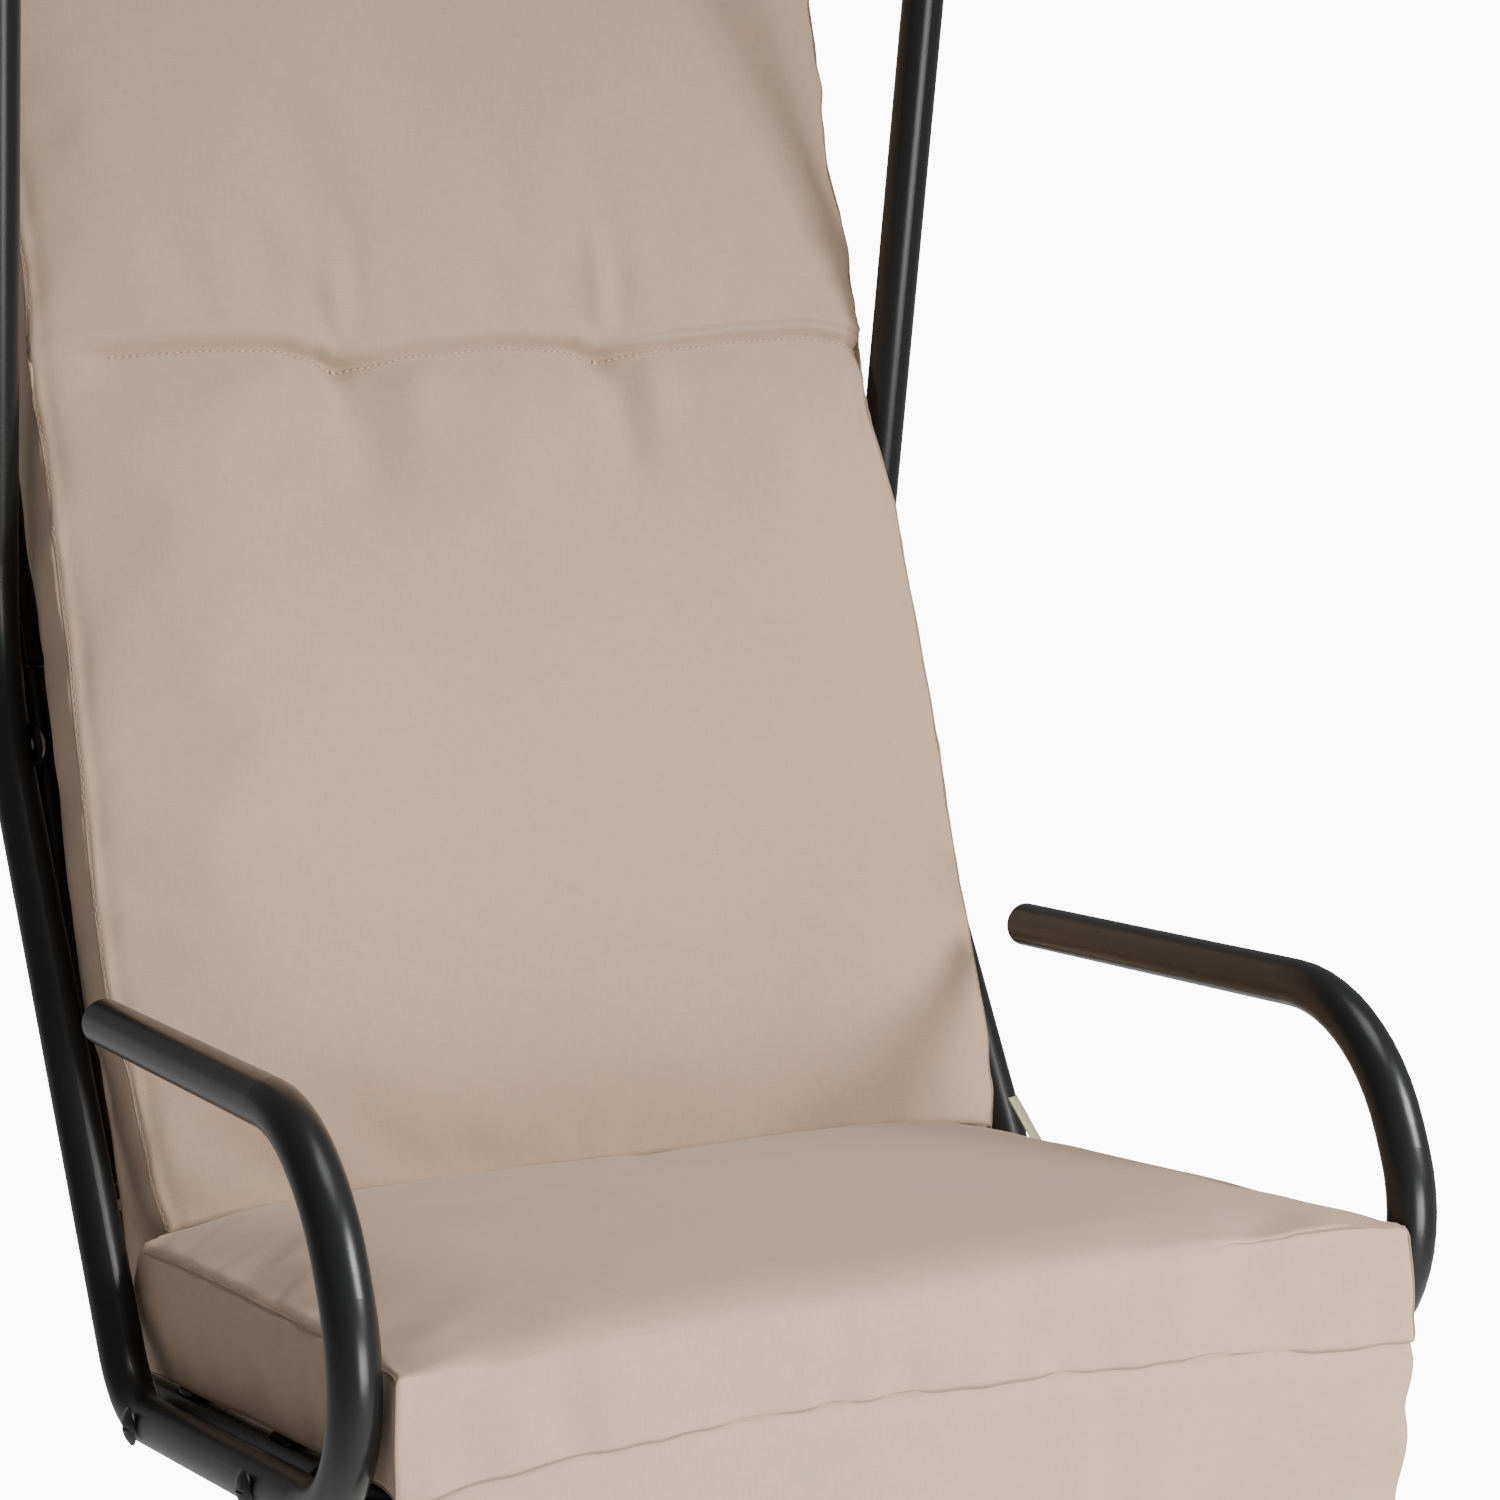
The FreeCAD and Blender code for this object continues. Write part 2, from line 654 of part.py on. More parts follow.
def back_fastening(side, sign):
    head_seat = "%d * (half_gauge - tube_od / 2 - frame_play - lug_thick)" % sign
    dome_bolt("back_bolt_" + side, "lug_thick + frame_play + tube_od", sign, head_seat, "bolt_back",
              "bolt_up", V(0, 0, 1))
    lock_nut("back_nut_" + side, "nut_flats", "nut_high", "bolt_od", "collar_od", sign,
             "%d * (half_gauge + tube_od / 2)" % sign, "bolt_back", "bolt_up")


def rail_fastening(side, sign):
    """Two bolts from outside through the rail and the inner tube, nuts inside."""
    back = "heel_back - rail_bolt_run * cos(rail_slope)"
    up = "heel_up + rail_bolt_run * sin(rail_slope)"
    dome_bolt("rail_bolts_" + side, "tube_od + frame_play + frame_od", -sign,
              "%d * (half_gauge + tube_od / 2)" % sign, back, up, heading("rail_slope", "-cos", "sin"), 2)
    lock_nut("rail_nuts_" + side, "nut_flats", "nut_high", "bolt_od", "collar_od", -sign,
             "%d * (frame_across - frame_od / 2)" % sign, back, up, heading("rail_slope", "-cos", "sin"),
             2)


def loft(body, sections, name, ruled=False):
    feature = body.newObject("PartDesign::AdditiveLoft", name)
    feature.Profile = sections[0]
    feature.Sections = sections[1:]
    feature.Ruled = ruled
    doc.recompute()
    return feature


# Seat cushion: upright sections from the front face back, with crown, drawn-in and bulging sides.
# Each is its share of the depth and its shares of the crown and of the swelling.
SEAT_SECTIONS = [(0, 0, 0), (0.12, 0.6, 0.56), (0.5, 1, 1), (0.84, 0.55, 0.6), (1, 0.1, 0)]


def seat_cushion():
    body = new_body("seat_cushion")
    sections = []
    for i, (share, crown, swell) in enumerate(SEAT_SECTIONS):
        section = new_sketch(body, "seat_section_%d" % i, "YZ_Plane",
                             "%g * seat_depth * cos(rail_slope)" % share)
        low = "-%g * seat_depth * sin(rail_slope)" % share
        high = "%s + seat_front_thick + %g * (seat_rear_thick - seat_front_thick)" % (low, share)
        wide = "(seat_width / 2 - %g * seat_draw)" % swell
        middle = "(%s + %s) / 2" % (low, high)
        side = "(%s + seat_front_bulge + %g * seat_bulge)" % (wide, swell)
        top = "%s + seat_edge_crown + %g * (seat_crown - seat_edge_crown)" % (high, crown)
        outline(section, [("-" + wide, low), (wide, low), (wide, high), ("-" + wide, high)],
                through={1: (side, middle), 2: ("0", top), 3: ("-" + side, middle)})
        sections.append(section)
    loft(body, sections, "seat_cushion_loft")
    # the rear leans forward where the back cushion meets it
    wedge = new_sketch(body, "seat_joint_wedge", "XZ_Plane")
    low = "(0 - seat_depth * sin(rail_slope) - seat_edge_crown)"
    tall = "(seat_rear_thick + seat_crown)"
    line = ("(corner_back - seat_front_back - cushion_gap / 2"
            " - (%s - corner_up + seat_front_up) * tan(joint_lean))")
    far = "(%s + seat_rear_thick)" % (line % low)
    outline(wedge, [(line % low, low), (far, low), (far, tall), (line % tall, tall)])
    doc.recompute()
    cut(body, wedge, "seat_joint_cut")
    place(body, "0", "seat_front_back", "seat_front_up", V(0, 1, 0), ACROSS * -1)


# Back cushion: sections across the back from its foot to its top. Each is the distance from the frame's
# corner, then its shares of the thickness, the crown and the drawing-in; the sewn line has no crown.
BELOW_LINE = "back_rise + %g * (tuft_height - back_rise)"
ABOVE_LINE = "tuft_height + %g * (back_rise + back_length - tuft_height)"
SEWN_LINE = ("tuft_height", 0.95, None, 1)
CROWN_AT_TUFTS, CROWN_BETWEEN, CROWN_BESIDE = 0.95, 1, 0.7
DIP_BETWEEN, DIP_BESIDE = 0.4, 0.3
BACK_LOWER = [(BELOW_LINE % 0, 1, 0.7, 0), (BELOW_LINE % 0.4, 1, 1, 1), (BELOW_LINE % 0.8, 1, 0.95, 1),
              SEWN_LINE]
BACK_UPPER = [SEWN_LINE, (ABOVE_LINE % 0.3, 1, 0.95, 0.9), (ABOVE_LINE % 0.65, 1, 0.95, 0.6),
              (ABOVE_LINE % 0.92, 0.98, 0.75, 0.2)]
BACK_END = [(ABOVE_LINE % 0.92, 0.98, 0.75, 0.2), (ABOVE_LINE % 0.98, 0.88, 0.5, 0.1),
            (ABOVE_LINE % 1, 0.7, 0.2, 0)]


def back_section(body, name, along, thick, crown, draw):
    section = new_sketch(body, name, "YZ_Plane", along)
    rear = "(slat_top + cushion_gap)"
    front = "(%s + %g * back_thick)" % (rear, thick)
    wide = "(back_width / 2 - %g * back_draw)" % draw
    tuck = "(%s - back_tuck)" % wide
    bulge = "(%s - back_bulge)" % wide
    tuft = "(tuft_pitch / 2)"
    if crown is None:
        tuft_front, between, beside = ["%s - %g * tuft_depth" % (front, share)
                                       for share in (1, DIP_BETWEEN, DIP_BESIDE)]
    else:
        tuft_front, between, beside = ["%s + %g * back_crown" % (front, share * crown)
                                       for share in (CROWN_AT_TUFTS, CROWN_BETWEEN, CROWN_BESIDE)]
    middle = "((%s + %s) / 2)" % (rear, front)
    aside = "((%s + %s) / 2)" % (wide, tuft)
    outline(section, [(rear, "-" + tuck), (rear, tuck), (front, wide), (tuft_front, tuft),
                      (tuft_front, "-" + tuft), (front, "-" + wide)],
            through={1: (middle, bulge), 2: (beside, aside), 3: (between, "0"),
                     4: (beside, "-" + aside), 5: (middle, "-" + bulge)})
    return section


def back_cushion():
    body = new_body("back_cushion")
    for name, values, ruled in (("lower", BACK_LOWER, False), ("upper", BACK_UPPER, False),
                                ("end", BACK_END, True)):
        sections = [back_section(body, "back_%s_%d" % (name, i), *value) for i, value in enumerate(values)]
        loft(body, sections, "back_%s_loft" % name, ruled)
    # the foot is cut along the same line as the seat cushion's rear
    wedge = new_sketch(body, "back_joint_wedge")
    tall = "(slat_top + 2 * back_thick)"
    gap = "(cushion_gap / 2)"
    outline(wedge, [(gap, "0"), ("%s + %s / tan(joint_lean + back_lean)" % (gap, tall), tall),
                    ("-" + tall, tall), ("-" + tall, "0")])
    doc.recompute()
    cut(body, wedge, "back_joint_cut")
    place(body, "0", "corner_back", "corner_up", heading("back_lean", "sin", "cos"),
          heading("back_lean", "-cos", "sin"))


# Skirt: one cloth with soft waves, nearly straight where it is sewn and fuller at its hem
def skirt_section(body, name, offset, half, wave):
    section = new_sketch(body, name, "XY_Plane", offset)
    count = 2 * SKIRT_WAVES
    step = "(2 * %s / %d)" % (half, count)
    corners = []
    through = {}
    for i in range(count):
        swing = wave if i % 2 else "-" + wave
        corners.append(("%s * %d - %s" % (step, i, half), "-skirt_thick / 2"))
        through[i] = ("%s * %g - %s" % (step, i + 0.5, half), "%s - skirt_thick / 2" % swing)
    corners.append((half, "-skirt_thick / 2"))
    for i in range(count):
        swing = wave if (count - 1 - i) % 2 else "-" + wave
        corners.append(("%s - %s * %d" % (half, step, i), "skirt_thick / 2"))
        through[count + 1 + i] = ("%s - %s * %g" % (half, step, i + 0.5), "%s + skirt_thick / 2" % swing)
    corners.append(("-" + half, "skirt_thick / 2"))
    outline(section, corners, through)
    return section


def cushion_skirt():
    body = new_body("cushion_skirt")
    sewn = skirt_section(body, "skirt_sewn_edge", None, "(skirt_width / 2)", "(skirt_sewn_wave)")
    hem = skirt_section(body, "skirt_hem", "-skirt_drop", "(skirt_width / 2 - skirt_taper)",
                        "(skirt_wave)")
    loft(body, [sewn, hem], "cushion_skirt_loft", ruled=True)
    place(body, "0", "seat_front_back + skirt_thick + skirt_set",
          "seat_front_up - (2 * skirt_thick + skirt_wave) * tan(rail_slope) - skirt_gap", ACROSS,
          V(0, 1, 0))


# Tie: a loop round the inner tube and a tail forward beside the cushions to the joint between them
def tie(side, sign):
    body = new_body("tie_" + side)
    ring = new_sketch(body, body.Label + "_ring", "YZ_Plane", "tie_height")
    circle(ring, "0", "0", "frame_od + 2 * tie_play + 2 * tie_thick")
    pad(body, ring, "tie_width", body.Label + "_loop", midplane=True)
    tail = new_sketch(body, body.Label + "_tail", "XY_Plane",
                      "%d * (half_gauge - tube_od / 2 - tie_thick - tie_play - frame_across)" % sign)
    half = "(tie_width / 2)"
    outline(tail, [("tie_height - " + half, "0"),
                   ("tie_height - tie_fall - " + half, "tie_reach - " + half),
                   ("tie_height - tie_fall - tie_drop", "tie_reach + tie_drop - " + half),
                   ("tie_height - tie_fall - tie_drop + " + half, "tie_reach + tie_drop + " + half),
                   ("tie_height - tie_fall + " + half, "tie_reach + " + half),
                   ("tie_height + " + half, "0")])
    pad(body, tail, "tie_thick", body.Label + "_tail_pad", reverse=sign < 0)
    drill(body, body.Label + "_bore", [("0", "0")], "frame_od + 2 * tie_play", "YZ_Plane")
    place(body, "%d * frame_across" % sign, "corner_back", "corner_up",
          heading("back_lean", "sin", "cos"), heading("back_lean", "-cos", "sin"))


# Build and write out
def build():
    for side, sign in SIDES.items():
        side_tube(side, sign)
        arm_plug(side, sign)
        bracket(side, sign)
        pivot_bolt(side, sign)
        lock_nut("pivot_nut_" + side, "pivot_flats", "pivot_nut", "pivot_od", "pivot_collar", -sign,
                 "%d * (half_gauge - ear_outside)" % sign, "0", "-pivot_drop")
        pivot_bushes(side, sign)
        frame_side(side, sign)
        back_lug(side, sign)
        back_fastening(side, sign)
        rail_fastening(side, sign)
        tie(side, sign)
    frame_front()
    frame_top()
    frame_cross()
    slats()
    seat_cushion()
    back_cushion()
    cushion_skirt()


def check_and_write():
    doc.recompute()
    for item in doc.Objects:
        if "Invalid" in item.State or "Error" in item.State:
            raise ValueError("%s failed: %s" % (item.Label, item.State))
    os.makedirs("parts", exist_ok=True)
    for item in parts:
        if item.Shape.isNull() or not item.Shape.isValid():
            raise ValueError("%s has no valid shape" % item.Label)
    for item in parts:
        item.Shape.exportStep(os.path.join("parts", item.Label + ".step"))
        print("%-20s solids %d volume %10.1f" % (item.Label, len(item.Shape.Solids), item.Shape.Volume))


build()
check_and_write()
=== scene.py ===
import bisect
import math

import bpy
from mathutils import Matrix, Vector, noise
from mathutils.bvhtree import BVHTree


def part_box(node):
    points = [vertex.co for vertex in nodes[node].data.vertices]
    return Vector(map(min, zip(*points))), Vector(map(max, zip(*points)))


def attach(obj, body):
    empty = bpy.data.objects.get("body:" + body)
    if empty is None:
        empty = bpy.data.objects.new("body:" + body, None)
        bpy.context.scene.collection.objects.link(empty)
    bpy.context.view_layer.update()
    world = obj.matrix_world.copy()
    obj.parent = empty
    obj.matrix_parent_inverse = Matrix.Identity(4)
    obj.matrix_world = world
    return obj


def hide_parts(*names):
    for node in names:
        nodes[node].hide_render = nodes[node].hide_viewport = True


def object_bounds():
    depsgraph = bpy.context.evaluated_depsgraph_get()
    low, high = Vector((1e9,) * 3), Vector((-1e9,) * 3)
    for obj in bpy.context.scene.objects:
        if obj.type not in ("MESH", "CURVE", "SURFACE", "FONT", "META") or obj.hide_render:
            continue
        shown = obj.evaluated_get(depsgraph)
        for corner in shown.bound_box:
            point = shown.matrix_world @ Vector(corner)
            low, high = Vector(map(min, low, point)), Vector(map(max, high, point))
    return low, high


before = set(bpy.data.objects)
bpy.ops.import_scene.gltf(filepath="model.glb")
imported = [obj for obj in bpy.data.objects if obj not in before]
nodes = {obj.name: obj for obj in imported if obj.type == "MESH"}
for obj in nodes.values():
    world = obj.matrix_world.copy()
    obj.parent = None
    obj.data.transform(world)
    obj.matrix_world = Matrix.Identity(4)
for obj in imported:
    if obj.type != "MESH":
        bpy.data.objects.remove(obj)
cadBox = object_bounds()
print("frame loaded:", len(nodes), "nodes")


# places taken from the frame: the slats give the planes of the seat and the back
def nodeCentre(name):
    low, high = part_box(name)
    return (Vector(low) + Vector(high)) / 2


def sideways(direction):    # a quarter turn in the side view, towards the sitter
    return Vector((0, -direction.z, direction.y))


tubes = {"frameRadius": 0.011, "slatThick": 0.003}
backUp = (nodeCentre("back_slat_5") - nodeCentre("back_slat_1")).normalized()
backFront = sideways(backUp)
railBack = (nodeCentre("seat_slat_1") - nodeCentre("seat_slat_2")).normalized()
railUp = sideways(railBack)
toSlatCentre = tubes["frameRadius"] + tubes["slatThick"] / 2
backLine = nodeCentre("back_slat_1") - backFront * toSlatCentre
railLine = nodeCentre("seat_slat_1") - railUp * toSlatCentre
reach = (backLine - railLine).dot(backFront) / railBack.dot(backFront)
frameCorner = railLine + railBack * reach
print("frame corner at", [round(v, 4) for v in frameCorner])


# camera and light
camera = {"place": (-0.7715, -1.8785, -0.5674), "azimuth": 24.6, "pitch": 12.19,
          "focalPixels": 3642.0, "axisPixel": (690.0, 878.0), "imagePixels": 1500.0}


def addObject(name, data):
    piece = bpy.data.objects.new(name, data)
    bpy.context.scene.collection.objects.link(piece)
    return piece


def makeCamera():
    data = bpy.data.cameras.new("camera")
    piece = addObject("camera", data)
    pixels = camera["imagePixels"]
    data.sensor_width = 36.0
    data.lens = camera["focalPixels"] / pixels * data.sensor_width
    data.shift_x = (pixels / 2 - camera["axisPixel"][0]) / pixels
    data.shift_y = (camera["axisPixel"][1] - pixels / 2) / pixels
    data.clip_start = 0.05
    data.clip_end = 60.0
    piece.location = camera["place"]
    piece.rotation_euler = (math.radians(90 - camera["pitch"]), 0, math.radians(-camera["azimuth"]))
    bpy.context.scene.camera = piece


# a light's values are its place, what it is aimed at, its size, its power and its beam in degrees
studio = {"floorDrop": 0.42, "floorSize": 120.0, "floorColour": (0.90, 0.90, 0.895), "white": 11.0,
          "worldColour": (1.0, 1.0, 1.0), "worldStrength": 0.20,
          "lights": {"key_right": ((1.45, -2.1, 0.32), (0, -0.45, -1.27), (0.9, 0.9), 18.6, 82),
                     "front_low": ((0.4, -2.1, -1.3), (0, -0.45, -1.35), (1.0, 0.7), 6.5, 75),
                     "top_soft": ((0.35, -0.6, 1.2), (0, -0.3, -1.2), (1.2, 1.2), 3.0, 60)}}


def makeLight(name, place, aim, size, power, beam):
    data = bpy.data.lights.new(name, "AREA")
    data.shape = "RECTANGLE"
    data.size, data.size_y = size
    data.energy = power
    data.spread = math.radians(beam)
    piece = addObject(name, data)
    piece.location = place
    away = Vector(place) - Vector(aim)
    piece.rotation_euler = away.to_track_quat("Z", "Y").to_euler()


def paperGlow(tree, socket):    # the paper and the air round it look white, but light the seat only softly
    path = tree.nodes.new("ShaderNodeLightPath")
    glow = mapRange(tree, path.outputs["Is Camera Ray"], 0.0, 1.0, studio["worldStrength"], studio["white"])
    tree.links.new(glow, socket)


def makeStudio():
    world = bpy.data.worlds.new("studio")
    world.use_nodes = True
    air = world.node_tree.nodes["Background"]
    air.inputs["Color"].default_value = studio["worldColour"] + (1,)
    paperGlow(world.node_tree, air.inputs["Strength"])
    bpy.context.scene.world = world
    floorZ = cadBox[0][2] - studio["floorDrop"]
    half = studio["floorSize"] / 2
    corners = [(x * half, y * half, floorZ) for x, y in ((-1, -1), (1, -1), (1, 1), (-1, 1))]
    floor = meshPiece("floor", corners, [(0, 1, 2, 3)])
    material, tree, paper = newFinish("floor_paper", {"Base Color": studio["floorColour"] + (1,),
                                                      "Emission Color": studio["worldColour"] + (1,),
                                                      "Roughness": 0.85})
    paperGlow(tree, paper.inputs["Emission Strength"])
    floor.data.materials.append(material)
    for name, values in studio["lights"].items():
        makeLight(name, *values)


# mesh helpers
def meshPiece(name, vertices, faces):
    mesh = bpy.data.meshes.new(name)
    mesh.from_pydata([tuple(v) for v in vertices], [], faces)
    mesh.update()
    mesh.polygons.foreach_set("use_smooth", [True] * len(mesh.polygons))
    return addObject(name, mesh)


def applyModifiers(piece):
    graph = bpy.context.evaluated_depsgraph_get()
    graph.update()
    mesh = bpy.data.meshes.new_from_object(piece.evaluated_get(graph))
    old = piece.data
    piece.modifiers.clear()
    piece.data = mesh
    bpy.data.meshes.remove(old)


def finishPiece(piece, finish, body="seat"):
    piece.data.materials.clear()
    piece.data.materials.append(finishes[finish])
    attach(piece, body)
    return piece


# a closed box of quads, by the places of its rows from -1 to 1 along the three directions
def boxLattice(xs, ys, zs):
    nx, ny, nz = len(xs) - 1, len(ys) - 1, len(zs) - 1
    index = {}
    shares = []
    faces = []
    sides = []

    def corner(i, j, k):
        key = (i, j, k)
        if key not in index:
            index[key] = len(shares)
            shares.append((xs[i], ys[j], zs[k]))
        return index[key]

    def quad(side, *corners):
        faces.append(tuple(corner(*c) for c in corners))
        sides.append(side)

    for i in range(nx):
        for j in range(ny):
            quad("low", (i, j, 0), (i, j + 1, 0), (i + 1, j + 1, 0), (i + 1, j, 0))
            quad("high", (i, j, nz), (i + 1, j, nz), (i + 1, j + 1, nz), (i, j + 1, nz))
        for k in range(nz):
            quad("start", (i, 0, k), (i + 1, 0, k), (i + 1, 0, k + 1), (i, 0, k + 1))
            quad("end", (i, ny, k), (i, ny, k + 1), (i + 1, ny, k + 1), (i + 1, ny, k))
    for j in range(ny):
        for k in range(nz):
            quad("left", (0, j, k), (0, j, k + 1), (0, j + 1, k + 1), (0, j + 1, k))
            quad("right", (nx, j, k), (nx, j + 1, k), (nx, j + 1, k + 1), (nx, j, k + 1))
    return shares, faces, sides, index


def weaveMap(mesh, sides, size):    # flat cloth coordinates in metres, one panel at a time
    shares = mesh.attributes["share"].data
    layer = mesh.uv_layers.new(name="weave")
    for polygon, side in zip(mesh.polygons, sides):
        for loop in polygon.loop_indices:
            a, b, c = shares[mesh.loops[loop].vertex_index].vector
            x, y, z = a * size[0] / 2, b * size[1] / 2, c * size[2] / 2
            flat = {"low": (x, y), "high": (x, y), "start": (x, z - size[1]), "end": (x, z + size[1]),
                    "left": (z - size[0], y), "right": (z + size[0], y)}[side]
            layer.data[loop].uv = flat


def shareAttribute(mesh, shares):
    attribute = mesh.attributes.new("share", "FLOAT_VECTOR", "POINT")
    attribute.data.foreach_set("vector", [v for share in shares for v in share])


# padding: pressure swells the cloth between its held seams, and no point moves further than its cap
padCloth = {"quality": 6, "mass": 0.25, "tension_stiffness": 22, "compression_stiffness": 12,
            "shear_stiffness": 8, "use_pressure": True, "vertex_group_mass": "held", "pin_stiffness": 1.0}
padRun = {"steps": 20, "cap": 0.022, "slackness": 0.004}


def swell(piece, held, pressure, bend):
    group = piece.vertex_groups.new(name=padCloth["vertex_group_mass"])
    for i, weight in enumerate(held):
        if weight > 0:
            group.add([i], weight, "REPLACE")
    start = [v.co.copy() for v in piece.data.vertices]
    cloth = piece.modifiers.new("padding", "CLOTH")
    settings = cloth.settings
    for label, value in padCloth.items():
        setattr(settings, label, value)
    settings.bending_stiffness = bend
    settings.uniform_pressure_force = pressure
    settings.shrink_min = -padRun["slackness"]
    settings.effector_weights.gravity = 0
    cloth.point_cache.frame_start = 1
    cloth.point_cache.frame_end = padRun["steps"]
    for step in range(1, padRun["steps"] + 1):
        bpy.context.scene.frame_set(step)
    applyModifiers(piece)
    for vertex, before in zip(piece.data.vertices, start):
        move = vertex.co - before
        if move.length > padRun["cap"]:
            vertex.co = before + move * (padRun["cap"] / move.length)
    bpy.context.scene.frame_set(1)


def smoothOnce(piece):
    modifier = piece.modifiers.new("smooth", "SUBSURF")
    modifier.levels = modifier.render_levels = 1
    applyModifiers(piece)


def surfaceOf(piece):    # a search tree of the piece's faces
    return BVHTree.FromObject(piece, bpy.context.evaluated_depsgraph_get())


def stickTo(tree, points, lift):    # points moved onto a surface, then off it by lift
    placed = []
    for point in points:
        near, normal = tree.find_nearest(point)[:2]
        placed.append(near + normal * lift)
    return placed


def stickAlong(tree, points, way):    # points dropped onto a surface along one direction
    return [tree.ray_cast(point - way * 0.1, way)[0] or point for point in points]


def circle(count):    # even steps round a full turn
    return [(math.cos(2 * math.pi * i / count), math.sin(2 * math.pi * i / count)) for i in range(count)]


def loft(name, rings, closed=False):    # faces from ring to ring, and one over each open end
    sides = len(rings[0])
    faces = []
    for i in range(len(rings) if closed else len(rings) - 1):
        here, there = i * sides, (i + 1) % len(rings) * sides
        for k in range(sides):
            after = (k + 1) % sides
            faces.append((here + k, here + after, there + after, there + k))
    if not closed:
        faces.append(tuple(range(sides))[::-1])
        faces.append(tuple((len(rings) - 1) * sides + k for k in range(sides)))
    return meshPiece(name, [point for ring in rings for point in ring], faces)


# a strand of round section along points, for seams, threads and welds
def strand(name, points, radius, ripple=None, closed=False, sides=6):
    rings = []
    count = len(points)
    normal = None
    for i, point in enumerate(points):
        before = points[i - 1] if closed or i else points[i]
        after = points[(i + 1) % count] if closed or i < count - 1 else points[i]
        along = (after - before).normalized()
        if normal is None:
            normal = along.orthogonal().normalized()
        normal = (normal - along * normal.dot(along)).normalized()
        across = along.cross(normal)
        size = radius * (ripple(i / count) if ripple else 1.0)
        if not closed and i in (0, count - 1):
            size *= thread["endShare"]
        rings.append([point + (normal * u + across * v) * size for u, v in circle(sides)])
    return loft(name, rings, closed)


# places in the seat: forward along the rails and up from them, or up along the back and out from it
def onSeat(x, forward, up):
    return frameCorner + Vector((x, 0, 0)) - railBack * forward + railUp * up


def onBack(x, along, out):
    return frameCorner + Vector((x, 0, 0)) + backUp * along + backFront * out


def mix(low, high, share):
    return low + (high - low) * share


def smoothStep(low, high, value):
    share = min(max((value - low) / (high - low), 0.0), 1.0)
    return share * share * (3 - 2 * share)


def tableValue(rows, x):    # a smooth value between rows of (place, value)
    if x <= rows[0][0]:
        return rows[0][1]
    for (x0, y0), (x1, y1) in zip(rows, rows[1:]):
        if x <= x1:
            return mix(y0, y1, smoothStep(x0, x1, x))
    return rows[-1][1]


def bell(away, width):    # 1 in the middle, falling to nothing beyond the width
    return math.exp(-(away / width) ** 2)


def ridge(row, place):    # a soft ridge, from its height, where it is and how wide
    height, middle, width = row
    return height * bell(place - middle, width)


def softNoise(point, size, seed):
    return noise.noise(Vector(point) / size + Vector((seed, seed * 1.7, -seed)))


def uneven(row, place):    # slow unevenness: amount, size and seed
    amount, size, seed = row
    return amount * softNoise(place, size, seed)


def puckers(row, away, along, shift=0.0):    # small gathers that run out of a seam: amount, size and seed
    amount, size, seed = row
    return amount * (softNoise((along, away * 0.5, 0), size, seed + shift) * math.exp(-away / (1.3 * size)))


# the side tubes' centre line in the side view, for what must stay clear of them
sideTube = {"corners": [(0.0, -0.038), (0.14774, -0.89334), (-0.08952, -1.25315)],
            "rail": 0.405, "nose": 0.185, "noseLean": 25.9, "arm": 0.34, "armDrop": 5.55,
            "bends": (0.178, 0.050, 0.081, 0.096), "bendSteps": 14, "radius": 0.0125, "across": 0.278,
            "room": 0.0008}


def bendPoints(before, corner, after, radius):
    toBefore = (before - corner).normalized()
    toAfter = (after - corner).normalized()
    half = toBefore.angle(toAfter) / 2
    run = radius / math.tan(half)
    middle = corner + (toBefore + toAfter).normalized() * (radius / math.sin(half))
    start = corner + toBefore * run - middle
    turn = math.pi - 2 * half
    spin = 1 if start.cross(corner + toAfter * run - middle) > 0 else -1
    points = []
    count = sideTube["bendSteps"]
    for i in range(count + 1):
        angle = spin * turn * i / count
        points.append(middle + Vector((start.x * math.cos(angle) - start.y * math.sin(angle),
                                       start.x * math.sin(angle) + start.y * math.cos(angle))))
    return points


def makeSidePath():
    t = sideTube
    corners = [Vector(c) for c in t["corners"]]
    forward = Vector((-railBack.y, -railBack.z))
    corners.append(corners[-1] + forward * t["rail"])
    lean = math.radians(t["noseLean"])
    corners.append(corners[-1] + Vector((math.sin(lean), math.cos(lean))) * t["nose"])
    drop = math.radians(t["armDrop"])
    corners.append(corners[-1] + Vector((math.cos(drop), -math.sin(drop))) * t["arm"])
    path = [corners[0]]
    for k, radius in enumerate(t["bends"]):
        path += bendPoints(corners[k], corners[k + 1], corners[k + 2], radius)
    path.append(corners[-1])
    return path


sidePath = makeSidePath()


def sideRoom(y, z):    # how far from the middle a soft piece may reach at this place
    place = Vector((y, z))
    nearest = 1.0
    for start, end in zip(sidePath, sidePath[1:]):
        run = end - start
        share = min(max((place - start).dot(run) / run.length_squared, 0.0), 1.0)
        nearest = min(nearest, (place - start - run * share).length)
    t = sideTube
    full = t["radius"] + t["room"]
    if nearest >= full:
        return 1.0
    return t["across"] - math.sqrt(full ** 2 - nearest ** 2)


def spread(length, step, fine):    # places from -1 to 1, with fine rows beside each end
    half = length / 2
    rows = [half - d for d in fine]
    inner = rows[-1]
    count = max(2, round(2 * inner / step))
    middle = [mix(-inner, inner, i / count) for i in range(count + 1)]
    places = [-v for v in rows[:-1]] + middle + rows[:-1][::-1]
    return [v / half for v in places]


def vertexNormals(piece):
    return [Vector(v.vector) for v in piece.data.vertex_normals]


def pushVertices(piece, pushes):    # each push is a vertex and how far it goes along its normal
    normals = vertexNormals(piece)
    for i, far in pushes:
        piece.data.vertices[i].co += normals[i] * far


